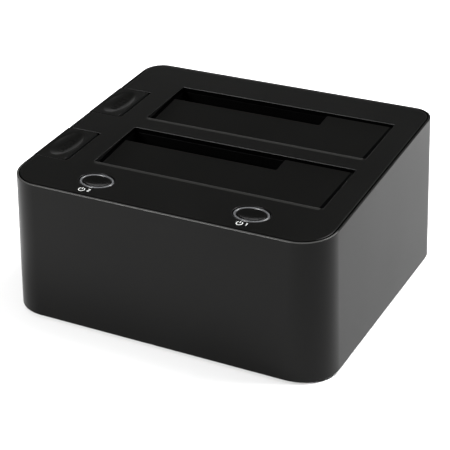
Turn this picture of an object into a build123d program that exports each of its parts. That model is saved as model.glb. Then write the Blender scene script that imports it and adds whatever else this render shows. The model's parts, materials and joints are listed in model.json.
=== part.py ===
from build123d import *

import os
from math import atan2, cos, hypot, pi, radians, sin, tan

# Dual-bay hard drive docking station, in millimetres.
# X runs to the right, the front face looks towards -Y, and Z is up.
# The origin is the centre of the footprint, on the surface that the rubber feet stand on.

# Housing: its plan is the two slots, the eject keys and the land round them
front_land = 29.55
rear_land = 21.4
right_land = 14.2
key_land = 10.7
key_width = 18.3
body_height = 64.0
top_slope = 3.43
wall_draft = 1.95
front_corner = 16.6
rear_corner = 11.5
wall = 2.4
rim_width = 0.9
rim_bevel = 0.25
base_bevel = 0.4
base_thickness = 2.4
base_gap = 0.25

# Rubber feet
foot_diameter = 12.0
foot_proud = 1.0
foot_sunk = 0.8
foot_bevel = 0.3
foot_gap = 0.2
foot_inset_x = 28.1
foot_inset_y = 12.65

# Top panel
panel_thickness = 2.4
panel_groove = 0.5
post_radius = 3.4
post_inset_x = 12.6
post_inset_y = 14.65
screw_radius = 1.5
screw_head_radius = 2.8
screw_head_angle = 82.0
screw_reach = 9.0
screw_end_gap = 1.0
fit = 0.05

# Drive slots, one behind the other
slot_width = 103.0
slot_depth = 34.2
slots_apart = 9.95
lead_in = 3.7
lead_drop = 3.2
sill_floor = 1.1
sill_lap = 1.0

# Drive wells under the panel
well_wall = 1.8
well_front_gap = 0.4
well_floor_top = 16.5
well_floor = 2.0
rib_thickness = 1.4
rib_depth = 1.6
rib_count = 4

# Spring flaps, and the opening behind each one for the smaller drive
small_width = 72.1
small_depth = 10.0
small_corner = 1.0
flap_thickness = 1.6
flap_side_gap = 0.9
flap_rear_gap = 0.8
flap_front_gap = 0.25
flap_rear_drop = 0.9
flap_bevel = 0.25
hinge_set_back = 2.0
hinge_depth = 3.9
knuckle_radius = 1.8
knuckle_width = 7.0
knuckle_reach = 4.5
pin_radius = 0.75
flap_wire = 0.4
flap_coil_radius = 1.35
flap_coil_pitch = 0.56
flap_coil_turns = 3.25
flap_leg = 5.0

# Eject keys at the left edge
key_length = 27.5
key_shift_y = -7.6
key_corner = 2.6
key_gap = 0.35
key_side_gap = 0.7
key_proud = 0.4
key_skirt = 11.0
key_top = 2.6
key_travel = 4.5
key_bevel = 0.5
apron = 1.2
apron_gap = 0.4
apron_lap = 2.0
dish_length = 22.0
dish_width = 11.4
dish_depth = 1.5
dish_lip = 1.1
lip_depth = 0.35
stem_inset = 9.1
stem_thickness = 2.4
stem_width = 12.0
stem_tip = 1.2
stem_taper = 3.0
stem_rib_height = 6.0
stem_gap = 0.6
grip_count = 5
grip_pitch = 2.6
grip_length = 3.0
grip_width = 0.9
grip_height = 0.35

# Eject rockers
rocker_clear = 5.9
rocker_z = 11.6
rocker_radius = 2.2
rocker_pin_radius = 1.0
rocker_inner = 11.0
rocker_arm = 2.6
rocker_width = 5.0
rocker_nose = 3.6
rocker_lug = 2.0
rocker_nose_set_back = 7.0
rocker_end_gap = 0.3
touch_gap = 0.3
eject_wire = 0.6
eject_coil_radius = 2.6
eject_coil_turns = 3
eject_seat_height = 1.0

# Power keys in oval light rings
oval_x_radius = 7.45
oval_y_radius = 5.55
oval_gap = 0.4
ring_wall = 0.95
ring_sink = 0.1
ring_depth = 6.6
ring_flange = 1.3
ring_flange_thickness = 0.9
ring_bevel = 0.2
power_inset_y = 15.4
power_inset_right = 37.8
power_inset_left = 38.9
cap_gap = 0.18
cap_sink = 0.15
cap_height = 2.4
cap_dish = 0.55
cap_travel = 0.6
cap_stem_radius = 1.6
button_board_depth = 8.0
button_board_margin = 11.25
button_board_length = 14.0
board_thickness = 1.2
tact_size = 6.0
tact_height = 3.4
plunger_radius = 1.6
plunger_proud = 1.0
led_length = 2.0
led_width = 1.0
led_height = 0.7
board_post_x = 20.0
board_post_radius = 2.5

# Main board on the base plate
standoff_height = 3.0
standoff_radius = 3.0
main_thickness = 1.6
main_inset_left = 2.1
main_inset_right = 3.4
main_inset_front = 13.65
main_inset_rear = 6.65
small_screw_radius = 1.2
small_head_radius = 2.3
small_head_height = 1.5
small_screw_reach = 3.6
main_screw_inset = 4.5

# Drive sockets on the main board
socket_width = 42.0
socket_thickness = 5.8
socket_from_left = 31.7
socket_from_rear = 3.8
socket_window_gap = 0.5
key_slot_depth = 6.0
key_slot_thickness = 2.4
signal_slot = 10.6
power_slot = 21.0
pocket_web = 2.4
pocket_leg = 1.3
contact_pitch = 1.27
contact_width = 0.7
contact_thickness = 0.35
signal_contacts = 7
power_contacts = 15

# Rear sockets
port_recess = 0.6
port_gap = 0.3
usb_inset = 57.1
usb_width = 12.0
usb_height = 12.9
usb_depth = 15.5
usb_shell = 0.8
usb_tongue_width = 5.6
usb_tongue_height = 3.0
jack_inset = 31.1
jack_width = 9.0
jack_height = 11.0
jack_depth = 13.5
jack_bore_radius = 3.2
jack_bore_depth = 9.5
jack_pin_radius = 1.0

# Parts on the boards
chip_size = 10.0
chip_height = 1.2
can_radius = 3.15
can_height = 7.7
can_inset = 11.2
coil_size = 6.6
coil_height = 4.0
header_length = 15.0
header_width = 4.0
header_height = 3.6
ribbon_width = 12.0
ribbon_thickness = 0.8
ribbon_bow = 5.0
ribbon_bend = 6.0
header_set_back = 2.75

# How many sides the small rounds and the spring wires are drawn with
small_sides = 12
wire_sides = 4
turn_steps = 10

# Places worked out from the sizes above
body_width = key_width + key_land + slot_width + right_land
body_depth = front_land + 2 * slot_depth + slots_apart + rear_land
slope_ratio = tan(radians(top_slope))
draft_ratio = tan(radians(wall_draft))
floor_z = foot_proud
base_top = floor_z + base_thickness
top_mid_z = floor_z + body_height
blank_height = body_height + slope_ratio * body_depth / 2 + wall
key_inner_x = key_width - body_width / 2
slot_left = key_inner_x + key_land
slot_right = slot_left + slot_width
slot_center_x = (slot_left + slot_right) / 2
front_bay_y = front_land + slot_depth / 2 - body_depth / 2
bays = {"front": front_bay_y, "rear": front_bay_y + slot_depth + slots_apart}
stem_x = stem_inset - body_width / 2
rocker_x = slot_left - rocker_clear
rocker_outer = rocker_x - stem_x
foot_x = body_width / 2 - foot_inset_x
foot_y = body_depth / 2 - foot_inset_y
post_x = body_width / 2 - post_inset_x
post_y = body_depth / 2 - post_inset_y
power_y = power_inset_y - body_depth / 2
power_xs = {"1": body_width / 2 - power_inset_right, "2": power_inset_left - body_width / 2}
main_left = slot_left + main_inset_left
main_right = slot_right - main_inset_right
main_front = main_inset_front - body_depth / 2
main_rear = body_depth / 2 - main_inset_rear
usb_x = body_width / 2 - usb_inset
jack_x = body_width / 2 - jack_inset
header_y = power_y + header_set_back
sill_depth = lead_drop + sill_floor
board_z = base_top + standoff_height
board_top = board_z + main_thickness
well_floor_under = well_floor_top - well_floor
tiny = 0.01
up_normal = (0, -sin(radians(top_slope)), cos(radians(top_slope)))
top_plane = Plane(origin=(0, 0, top_mid_z), x_dir=(1, 0, 0), z_dir=up_normal)
underside = top_plane.offset(-panel_thickness)

os.makedirs("parts", exist_ok=True)


def top_z(y):
    """Height of the sloping top surface at depth y."""
    return top_mid_z + slope_ratio * y


def slot_front(bay_y):
    """The front edge of a drive slot."""
    return bay_y - slot_depth / 2


def slot_rear(bay_y):
    """The rear edge of a drive slot."""
    return bay_y + slot_depth / 2


def drafted_block(inset):
    """A solid with the housing's drafted outline, moved inwards by inset, taller than the housing."""
    with BuildPart() as block:
        with BuildSketch(Plane.XY.offset(floor_z)) as outline:
            Rectangle(body_width - 2 * inset, body_depth - 2 * inset)
            fillet(outline.vertices().group_by(Axis.Y)[0], front_corner - inset)
            fillet(outline.vertices().group_by(Axis.Y)[-1], rear_corner - inset)
        extrude(amount=blank_height, taper=wall_draft)
    return block.part


def box_between(low, high):
    """A plain block between two corners, used to cut and to bound other solids."""
    size = [b - a for a, b in zip(low, high)]
    middle = tuple((a + b) / 2 for a, b in zip(low, high))
    with BuildPart() as block:
        with Locations(middle):
            Box(*size)
    return block.part


def side_profile(points, left, right):
    """A solid with a YZ outline, drawn through points, running from left to right in X."""
    with BuildPart() as block:
        with BuildSketch(Plane.YZ.offset(left)):
            with BuildLine():
                Polyline(*points, close=True)
            make_face()
        extrude(amount=right - left)
    return block.part


def sill_block(bay_y):
    """The thick front edge of a slot, whose sloping face leads a drive onto its flap."""
    front = slot_front(bay_y)
    return side_profile(
        [
            (front - sill_lap, top_z(front) - panel_thickness / 2),
            (front + lead_in, top_z(front) - panel_thickness / 2),
            (front + lead_in, top_z(front + lead_in) - sill_depth),
            (front - sill_lap, top_z(front - sill_lap) - sill_depth),
        ],
        slot_left,
        slot_right,
    )


def lead_in_wedge(bay_y):
    """What is cut from above a sill, so that its face falls from the slot's edge to the flap."""
    front = slot_front(bay_y)
    edge = front + lead_in
    return side_profile(
        [
            (front, top_z(front)),
            (edge + tiny, top_z(edge) - lead_drop),
            (edge + tiny, top_z(edge) + wall),
            (front, top_z(front) + wall),
        ],
        slot_left,
        slot_right,
    )


def key_plan(bay_y):
    """Centre of an eject key along Y."""
    return bay_y + key_shift_y


def key_outline(bay_y, gap):
    """Draw an eject key's plan in the current sketch, smaller than its notch by the given gap."""
    left = -body_width / 2 - wall
    right = key_inner_x - gap * key_side_gap / key_gap
    with BuildSketch(mode=Mode.PRIVATE) as plan:
        with Locations(((left + right) / 2, key_plan(bay_y))):
            Rectangle(right - left, key_length - 2 * gap)
        fillet(plan.vertices().group_by(Axis.X)[-1].sort_by(Axis.Y)[0], key_corner)
    add(plan.sketch)


def key_skirt_bottom(bay_y):
    """Lower edge of the part of an eject key that shows in the left wall."""
    return top_z(key_plan(bay_y)) - key_skirt


def hinge_point(bay_y):
    """The axis of a flap, as (y, z)."""
    edge = slot_front(bay_y) + lead_in
    return slot_front(bay_y) + hinge_set_back, top_z(edge) - lead_drop - hinge_depth


def socket_center(bay_y):
    """Centre of a drive socket, as (x, y)."""
    return slot_left + socket_from_left, slot_rear(bay_y) - socket_from_rear


def rocker_span(bay_y):
    """Front and rear ends of a rocker's barrel."""
    return key_plan(bay_y) - rocker_width, slot_rear(bay_y) - rocker_nose_set_back + rocker_width


def oval_plane(x, y):
    """A plane on the top surface at (x, y), for what lies square to the slope."""
    return Plane(origin=(x, y, top_z(y)), x_dir=(1, 0, 0), z_dir=up_normal)


def arc_radius(chord, depth):
    """Radius of the arc that is depth deep over a chord."""
    return (chord**2 / 4 + depth**2) / (2 * depth)


def scoop(face, length, width, depth):
    """A solid like the seat of a spoon, hollowing the top surface by depth at the plane's origin."""
    long_arc = arc_radius(length, depth)
    rise = arc_radius(width, depth) - depth
    reach = (long_arc**2 - (long_arc - depth - rise) ** 2) ** 0.5
    with BuildPart() as seat:
        with BuildSketch(face):
            with BuildLine():
                ThreePointArc((-reach, rise), (0, -depth), (reach, rise))
                Line((reach, rise), (-reach, rise))
            make_face()
        revolve(axis=Axis(face.from_local_coords((0, rise, 0)), face.x_dir))
    return seat.part


def small_round(radius):
    """Draw a small round, such as a screw, a post or its hole, in the current sketch."""
    RegularPolygon(radius, small_sides)


def coil_points(radius, turns, rise):
    """Points along a coil round the Z axis, as (x, y, z) from its lower end."""
    last = round(turns * turn_steps)
    angles = [2 * pi * turns * step / last for step in range(last + 1)]
    return [(radius * cos(a), radius * sin(a), rise * a / (2 * pi * turns)) for a in angles]


# Housing: a drafted shell, open below, with a ledge for the panel and a thin rounded rim
panel_pocket = split(drafted_block(rim_width), bisect_by=underside, keep=Keep.TOP)
outer_usb = board_top + usb_height / 2
outer_jack = board_top + jack_height / 2

outer_blank = drafted_block(0)
cavity = drafted_block(wall)

with BuildPart() as housing:
    add(outer_blank)
    split(bisect_by=top_plane, keep=Keep.BOTTOM)
    chamfer(housing.faces().sort_by(Axis.Z)[-1].edges(), rim_bevel)
    chamfer(housing.faces().sort_by(Axis.Z)[0].edges(), base_bevel)
    add(cavity, mode=Mode.SUBTRACT)
    add(panel_pocket, mode=Mode.SUBTRACT)
    for bay_y in bays.values():
        bottom = key_skirt_bottom(bay_y) - key_travel - key_gap
        with BuildSketch(Plane.YZ.offset(-body_width / 2 - wall)):
            with Locations((key_plan(bay_y), bottom + blank_height / 2)):
                Rectangle(key_length, blank_height)
        extrude(amount=body_width / 2 + wall + key_inner_x, mode=Mode.SUBTRACT)
    with BuildSketch(Plane.XZ.offset(-body_depth / 2)):
        with Locations((usb_x, outer_usb)):
            Rectangle(usb_width + 2 * port_gap, usb_height + 2 * port_gap)
        with Locations((jack_x, outer_jack)):
            Rectangle(jack_width + 2 * port_gap, jack_height + 2 * port_gap)
    extrude(amount=3 * wall, mode=Mode.SUBTRACT)
housing.part.label = "housing"
export_step(housing.part, "parts/housing.step")

# Base plate: closes the housing, holds the feet, the board and the eject springs
base_blank = split(
    drafted_block(wall + base_gap), bisect_by=Plane.XY.offset(base_top), keep=Keep.BOTTOM
)
post_places = [(sx * post_x, sy * post_y) for sx in (-1, 1) for sy in (-1, 1)]
main_screws = [
    (main_left + main_screw_inset, main_front + main_screw_inset),
    (main_right - main_screw_inset, main_front + main_screw_inset),
    (main_left + main_screw_inset, main_rear - main_screw_inset),
    (main_right - main_screw_inset, (slot_rear(bays["front"]) + slot_front(bays["rear"])) / 2),
]
spring_places = [(stem_x, key_plan(bay_y)) for bay_y in bays.values()]
side_ratio = cos(pi / small_sides)
screw_cone = (screw_head_radius - screw_radius) * side_ratio / tan(radians(screw_head_angle / 2))

with BuildPart() as base_plate:
    add(base_blank)
    with BuildSketch(Plane.XY.offset(base_top)):
        with Locations(*main_screws):
            small_round(standoff_radius)
    extrude(amount=standoff_height)
    with BuildSketch(Plane.XY.offset(base_top)):
        with Locations(*spring_places):
            small_round(eject_coil_radius - eject_wire)
    extrude(amount=eject_seat_height)
    with BuildSketch(Plane.XY.offset(board_z)):
        with Locations(*main_screws):
            small_round(small_screw_radius + fit)
    extrude(amount=-small_screw_reach, mode=Mode.SUBTRACT)
    with BuildSketch(Plane.XY.offset(floor_z)):
        with GridLocations(2 * foot_x, 2 * foot_y, 2, 2):
            Circle(foot_diameter / 2 + foot_gap)
    extrude(amount=foot_sunk, mode=Mode.SUBTRACT)
    with BuildSketch(Plane.XY.offset(floor_z)):
        with Locations(*post_places):
            small_round(screw_radius + fit)
    extrude(amount=base_thickness, mode=Mode.SUBTRACT)
    with BuildSketch(Plane.XY.offset(floor_z)):
        with Locations(*post_places):
            small_round(screw_head_radius + fit)
    extrude(amount=screw_cone, taper=screw_head_angle / 2, mode=Mode.SUBTRACT)
base_plate.part.label = "base_plate"
export_step(base_plate.part, "parts/base_plate.step")

# Rubber feet in their recesses
foot_names = {
    "foot_front_left": (-foot_x, -foot_y),
    "foot_front_right": (foot_x, -foot_y),
    "foot_rear_left": (-foot_x, foot_y),
    "foot_rear_right": (foot_x, foot_y),
}
for name, place in foot_names.items():
    with BuildPart() as foot:
        with BuildSketch():
            with Locations(place):
                Circle(foot_diameter / 2)
        extrude(amount=foot_proud + foot_sunk)
        chamfer(foot.faces().sort_by(Axis.Z)[0].edges(), foot_bevel)
    foot.part.label = name
    export_step(foot.part, "parts/" + foot.part.label + ".step")

# Top panel: inset in the rim, with slots, lead-in sills, key notches, oval holes and long posts
post_blank = []
for place in post_places:
    with BuildPart() as post:
        with BuildSketch(Plane.XY.offset(base_top)):
            with Locations(place):
                small_round(post_radius)
        extrude(amount=blank_height)
        with BuildSketch(Plane.XY.offset(base_top)):
            with Locations(place):
                small_round(screw_radius + fit)
        extrude(amount=screw_reach, mode=Mode.SUBTRACT)
        split(bisect_by=underside.offset(tiny), keep=Keep.BOTTOM)
    post_blank.append(post.part)

panel_blank = drafted_block(rim_width + panel_groove)
sills = {bay: sill_block(bay_y) for bay, bay_y in bays.items()}
wedges = [lead_in_wedge(bay_y) for bay_y in bays.values()]

with BuildPart() as top_panel:
    add(panel_blank)
    split(bisect_by=top_plane, keep=Keep.BOTTOM)
    split(bisect_by=underside, keep=Keep.TOP)
    for sill in sills.values():
        add(sill)
    with BuildSketch(Plane.XY.offset(base_top)):
        for bay_y in bays.values():
            with Locations((slot_center_x, bay_y + lead_in / 2)):
                Rectangle(slot_width, slot_depth - lead_in)
    extrude(amount=blank_height, mode=Mode.SUBTRACT)
    for wedge in wedges:
        add(wedge, mode=Mode.SUBTRACT)
    for bay_y in bays.values():
        with BuildSketch(Plane.XY.offset(base_top)):
            key_outline(bay_y, 0)
        extrude(amount=blank_height, mode=Mode.SUBTRACT)
    for x in power_xs.values():
        with BuildSketch(oval_plane(x, power_y)):
            Ellipse(oval_x_radius + oval_gap, oval_y_radius + oval_gap)
        extrude(amount=-2 * panel_thickness, mode=Mode.SUBTRACT)
    for side in (-1, 1):
        with BuildSketch(oval_plane(side * board_post_x, power_y).offset(-panel_thickness)):
            small_round(board_post_radius)
        extrude(amount=panel_thickness - button_board_depth)
        with BuildSketch(oval_plane(side * board_post_x, power_y).offset(-button_board_depth)):
            small_round(small_screw_radius + fit)
        extrude(amount=small_screw_reach, mode=Mode.SUBTRACT)
    for post in post_blank:
        add(post)
top_panel.part.label = "top_panel"
export_step(top_panel.part, "parts/top_panel.step")

# Countersunk screws through the base plate into the posts
with BuildPart() as housing_screws:
    with BuildSketch(Plane.XY.offset(floor_z)):
        with Locations(*post_places):
            small_round(screw_head_radius)
    extrude(amount=screw_cone, taper=screw_head_angle / 2)
    with BuildSketch(Plane.XY.offset(floor_z)):
        with Locations(*post_places):
            small_round(screw_radius)
    extrude(amount=base_thickness + screw_reach - screw_end_gap)
housing_screws.part.label = "housing_screws"
export_step(housing_screws.part, "parts/housing_screws.step")

# Drive wells: open boxes that stand on the base plate and carry the panel
for bay, bay_y in bays.items():
    front = slot_front(bay_y) - well_front_gap
    rear = slot_rear(bay_y)
    hinge_y, hinge_z = hinge_point(bay_y)
    socket_x, socket_y = socket_center(bay_y)
    barrel_front, barrel_rear = rocker_span(bay_y)
    nose_y = rear - rocker_nose_set_back
    slot_end = rocker_x + rocker_inner + rocker_nose
    nose_slot = box_between(
        (slot_left - 2 * well_wall, nose_y - rocker_width / 2 - touch_gap, base_top + well_wall),
        (slot_end, nose_y + rocker_width / 2 + touch_gap, well_floor_top + rocker_inner / 2),
    )
    with BuildPart() as well:
        with BuildSketch(Plane.XY.offset(base_top)):
            with Locations((slot_center_x, (front + rear) / 2)):
                Rectangle(slot_width + 2 * well_wall, rear - front + 2 * well_wall)
        extrude(amount=blank_height)
        with BuildSketch(Plane.XY.offset(well_floor_under)):
            for step in range(rib_count):
                rib_x = slot_left + slot_width * (step + 0.5) / rib_count
                with Locations((rib_x, (front + rear) / 2)):
                    Rectangle(rib_thickness, rear - front + 2 * well_wall + 2 * rib_depth)
        extrude(amount=blank_height)
        for lug_y in (barrel_front - rocker_lug, barrel_rear):
            with BuildSketch(Plane.XZ.offset(-lug_y - rocker_lug)):
                with BuildLine():
                    Polyline(
                        (slot_left - well_wall, base_top),
                        (slot_left - well_wall, rocker_z + 2 * rocker_radius),
                        (rocker_x - rocker_radius, rocker_z + rocker_radius),
                        (rocker_x - rocker_radius, base_top),
                        close=True,
                    )
                make_face()
            extrude(amount=rocker_lug)
        split(bisect_by=underside, keep=Keep.BOTTOM)
        with BuildSketch(Plane.XY.offset(well_floor_top)):
            with Locations((slot_center_x, (front + rear) / 2)):
                Rectangle(slot_width, rear - front)
        extrude(amount=blank_height, mode=Mode.SUBTRACT)
        with BuildSketch(Plane.XY.offset(base_top)):
            with Locations((slot_center_x, (front + rear) / 2)):
                Rectangle(slot_width, rear - front + 4 * well_wall)
        extrude(amount=well_floor_under - base_top, mode=Mode.SUBTRACT)
        add(sills[bay], mode=Mode.SUBTRACT)
        with BuildSketch(Plane.XY.offset(well_floor_under)):
            with Locations((socket_x, socket_y)):
                Rectangle(
                    socket_width + 2 * socket_window_gap, socket_thickness + 2 * socket_window_gap
                )
        extrude(amount=well_floor, mode=Mode.SUBTRACT)
        add(nose_slot, mode=Mode.SUBTRACT)
        with BuildSketch(Plane.YZ.offset(slot_left - well_wall)):
            with Locations((hinge_y, hinge_z)):
                small_round(pin_radius + fit)
        extrude(amount=slot_width + 2 * well_wall, mode=Mode.SUBTRACT)
        with BuildSketch(Plane.XZ.offset(-barrel_rear - rocker_lug)):
            with Locations((rocker_x, rocker_z)):
                small_round(rocker_pin_radius + fit)
        extrude(amount=barrel_rear - barrel_front + 2 * rocker_lug, mode=Mode.SUBTRACT)
    well.part.label = "drive_well_" + bay
    export_step(well.part, "parts/" + well.part.label + ".step")

# Spring flaps with their pins and torsion springs
flap_left = slot_left + flap_side_gap
flap_right = slot_right - flap_side_gap
for bay, bay_y in bays.items():
    hinge_y, hinge_z = hinge_point(bay_y)
    rear = slot_rear(bay_y)
    rear_y = rear - flap_rear_gap
    rise = top_z(rear_y) - flap_rear_drop - hinge_depth - hinge_z
    tilt = atan2(rise, rear_y - hinge_y)
    flap_length = hypot(rise, rear_y - hinge_y)
    plate_start = (lead_in + flap_front_gap - hinge_set_back) / cos(tilt) + hinge_depth * tan(tilt)
    along = (0, cos(tilt), sin(tilt))

    with BuildPart() as flap:
        with BuildSketch(Plane(origin=(flap_left, hinge_y, hinge_z), x_dir=along, z_dir=(1, 0, 0))):
            with Locations(((plate_start + flap_length) / 2, hinge_depth - flap_thickness / 2)):
                Rectangle(flap_length - plate_start, flap_thickness)
        extrude(amount=flap_right - flap_left)
        with BuildSketch(Plane.XY.offset(base_top)) as corner:
            with Locations((slot_left + small_width / 2, rear)):
                Rectangle(small_width, 2 * small_depth)
            fillet(
                corner.vertices().group_by(Axis.X)[-1].sort_by(Axis.Y)[0], small_corner
            )
        extrude(amount=blank_height, mode=Mode.SUBTRACT)
        chamfer(flap.faces().sort_by(Axis.Z)[-1].edges(), flap_bevel)
        for knuckle_left in (flap_left, flap_right - knuckle_width):
            knuckle_plane = Plane(
                origin=(knuckle_left, hinge_y, hinge_z), x_dir=along, z_dir=(1, 0, 0)
            )
            with BuildSketch(knuckle_plane):
                Circle(knuckle_radius)
                with BuildLine():
                    Polyline(
                        (0, -knuckle_radius),
                        (knuckle_reach + knuckle_radius, hinge_depth - flap_thickness + tiny),
                        (plate_start, hinge_depth - flap_thickness + tiny),
                        (-knuckle_radius * cos(radians(60)), knuckle_radius * sin(radians(60))),
                        close=True,
                    )
                make_face()
                RegularPolygon(pin_radius + fit, small_sides, mode=Mode.SUBTRACT)
            extrude(amount=knuckle_width)
    flap.part.label = "flap_" + bay
    export_step(flap.part, "parts/" + flap.part.label + ".step")

    with BuildPart() as flap_pin:
        with BuildSketch(Plane.YZ.offset(slot_left - well_wall)):
            with Locations((hinge_y, hinge_z)):
                small_round(pin_radius)
        extrude(amount=slot_width + 2 * well_wall)
    flap_pin.part.label = "flap_pin_" + bay
    export_step(flap_pin.part, "parts/" + flap_pin.part.label + ".step")

    coil_length = flap_coil_turns * flap_coil_pitch
    coil_plane = Plane(
        origin=(slot_center_x + coil_length / 2, hinge_y, hinge_z), x_dir=(0, -1, 0), z_dir=(-1, 0, 0)
    )
    turns = coil_points(flap_coil_radius, flap_coil_turns, coil_length)
    first_leg = (turns[0][0], -flap_leg, 0)
    last_leg = (turns[-1][0] - flap_leg, turns[-1][1], coil_length)
    with BuildPart() as flap_spring:
        with BuildLine(coil_plane) as coil:
            Polyline(first_leg, *turns, last_leg)
        with BuildSketch(coil.line ^ 0):
            RegularPolygon(flap_wire / 2, wire_sides)
        sweep(transition=Transition.RIGHT)
    flap_spring.part.label = "flap_spring_" + bay
    export_step(flap_spring.part, "parts/" + flap_spring.part.label + ".step")

# Eject keys: drafted with the wall, dished on top, with an apron behind the wall and a long stem
key_blank = split(drafted_block(-key_proud), bisect_by=top_plane, keep=Keep.BOTTOM)
apron_outer = drafted_block(wall + apron_gap)
apron_inner = drafted_block(wall + apron_gap + apron)
key_hollow = split(apron_inner, bisect_by=top_plane.offset(-key_top), keep=Keep.BOTTOM)
key_left = -body_width / 2 + draft_ratio * body_height - key_proud
key_right = key_inner_x - key_side_gap
dish_x = (key_left + key_right) / 2
length_arc = arc_radius(dish_length, dish_depth)
stem_bottom = rocker_z + rocker_arm / 2 + stem_gap
half_stem = stem_thickness / 2

for bay, bay_y in bays.items():
    middle_y = key_plan(bay_y)
    skirt_z = key_skirt_bottom(bay_y)
    apron_z = skirt_z - key_travel - key_gap - apron_lap
    dish_plane = Plane(
        origin=(dish_x, middle_y, top_z(middle_y)),
        x_dir=(0, cos(radians(top_slope)), sin(radians(top_slope))),
        z_dir=(1, 0, 0),
    )

    dish = scoop(dish_plane, dish_length, dish_width, dish_depth)
    lip = scoop(dish_plane, dish_length + 2 * dish_lip, dish_width + 2 * dish_lip, lip_depth)

    with BuildPart() as inside:
        with BuildSketch(Plane.XY.offset(apron_z)):
            with Locations(((key_right - apron) / 2 - body_width / 4, middle_y)):
                Rectangle(body_width / 2 + key_right - apron, key_length - 2 * key_gap - 2 * apron)
        extrude(amount=blank_height)
        add(key_hollow, mode=Mode.INTERSECT)

    skirt_plane = Plane.XY.offset(skirt_z)
    behind_apron = split(apron_inner, bisect_by=skirt_plane, keep=Keep.BOTTOM)
    with BuildPart() as outside:
        add(key_blank)
        split(bisect_by=skirt_plane, keep=Keep.BOTTOM)
        add(apron_outer, mode=Mode.SUBTRACT)

    with BuildPart() as stem:
        with BuildSketch(Plane.XZ.offset(-middle_y - stem_width / 2)):
            with BuildLine():
                Polyline(
                    (stem_x - stem_tip / 2, stem_bottom),
                    (stem_x + stem_tip / 2, stem_bottom),
                    (stem_x + half_stem, stem_bottom + stem_taper),
                    (stem_x + half_stem, blank_height),
                    (stem_x - half_stem, blank_height),
                    (stem_x - half_stem, stem_bottom + stem_taper),
                    close=True,
                )
            make_face()
        extrude(amount=stem_width)
        with BuildSketch(Plane.XY.offset(stem_bottom + stem_rib_height)):
            with Locations((stem_x, middle_y)):
                Rectangle(2 * stem_thickness, stem_thickness)
        extrude(amount=blank_height)
        split(bisect_by=top_plane.offset(-key_top / 2), keep=Keep.BOTTOM)

    with BuildPart() as eject_key:
        with BuildSketch(Plane.XY.offset(apron_z)):
            key_outline(bay_y, key_gap)
        extrude(amount=blank_height)
        add(key_blank, mode=Mode.INTERSECT)
        chamfer(eject_key.faces().sort_by(Axis.Z)[-1].edges(), key_bevel)
        add(dish, mode=Mode.SUBTRACT)
        add(lip, mode=Mode.SUBTRACT)
        add(outside.part, mode=Mode.SUBTRACT)
        add(inside.part, mode=Mode.SUBTRACT)
        add(behind_apron, mode=Mode.SUBTRACT)
        add(stem.part)
        for step in range(grip_count):
            along_dish = (step - (grip_count - 1) / 2) * grip_pitch
            rise = along_dish**2 / (2 * length_arc) - dish_depth + grip_height
            with BuildSketch(
                Plane(
                    origin=dish_plane.from_local_coords((along_dish, rise, 0)),
                    x_dir=(1, 0, 0),
                    z_dir=up_normal,
                )
            ):
                Rectangle(grip_length, grip_width)
            extrude(amount=-2 * grip_height)
    eject_key.part.label = "eject_key_" + bay
    export_step(eject_key.part, "parts/" + eject_key.part.label + ".step")

# Rockers, their pins and springs: a key pushes the outer arm down and the nose lifts the drive
for bay, bay_y in bays.items():
    middle_y = key_plan(bay_y)
    nose_y = slot_rear(bay_y) - rocker_nose_set_back
    barrel_front, barrel_rear = rocker_span(bay_y)
    half_arm = rocker_arm / 2

    with BuildPart() as rocker:
        with BuildSketch(Plane.XZ.offset(rocker_end_gap - barrel_rear)):
            with Locations((rocker_x, rocker_z)):
                small_round(rocker_radius)
        extrude(amount=barrel_rear - barrel_front - 2 * rocker_end_gap)
        with BuildSketch(Plane.XZ.offset(-middle_y - rocker_width / 2)):
            with Locations((rocker_x - (rocker_outer + eject_coil_radius) / 2, rocker_z)):
                Rectangle(rocker_outer + eject_coil_radius, rocker_arm)
        extrude(amount=rocker_width)
        with BuildSketch(Plane.XZ.offset(-nose_y - rocker_width / 2)):
            with BuildLine():
                Polyline(
                    (rocker_x, rocker_z - half_arm),
                    (rocker_x + rocker_inner, rocker_z - half_arm),
                    (rocker_x + rocker_inner + rocker_nose / 2, rocker_z + half_arm),
                    (rocker_x + rocker_inner + rocker_nose / 2, well_floor_top - touch_gap),
                    (rocker_x + rocker_inner - rocker_nose / 2, well_floor_top - touch_gap),
                    (rocker_x + rocker_inner - rocker_nose / 2, rocker_z + half_arm),
                    (rocker_x, rocker_z + half_arm),
                    close=True,
                )
            make_face()
        extrude(amount=rocker_width)
        with BuildSketch(Plane.XZ.offset(-barrel_rear)):
            with Locations((rocker_x, rocker_z)):
                small_round(rocker_pin_radius + fit)
        extrude(amount=barrel_rear - barrel_front, mode=Mode.SUBTRACT)
    rocker.part.label = "eject_rocker_" + bay
    export_step(rocker.part, "parts/" + rocker.part.label + ".step")

    with BuildPart() as rocker_pin:
        with BuildSketch(Plane.XZ.offset(-barrel_rear - rocker_lug)):
            with Locations((rocker_x, rocker_z)):
                small_round(rocker_pin_radius)
        extrude(amount=barrel_rear - barrel_front + 2 * rocker_lug)
    rocker_pin.part.label = "rocker_pin_" + bay
    export_step(rocker_pin.part, "parts/" + rocker_pin.part.label + ".step")

    spring_height = rocker_z - half_arm - base_top - 2 * eject_wire
    with BuildPart() as eject_spring:
        with BuildLine(Plane(origin=(stem_x, middle_y, base_top + eject_wire))) as coil:
            Polyline(*coil_points(eject_coil_radius - fit, eject_coil_turns, spring_height))
        with BuildSketch(coil.line ^ 0):
            RegularPolygon(eject_wire / 2, wire_sides)
        sweep(transition=Transition.RIGHT)
    eject_spring.part.label = "eject_spring_" + bay
    export_step(eject_spring.part, "parts/" + eject_spring.part.label + ".step")

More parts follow.
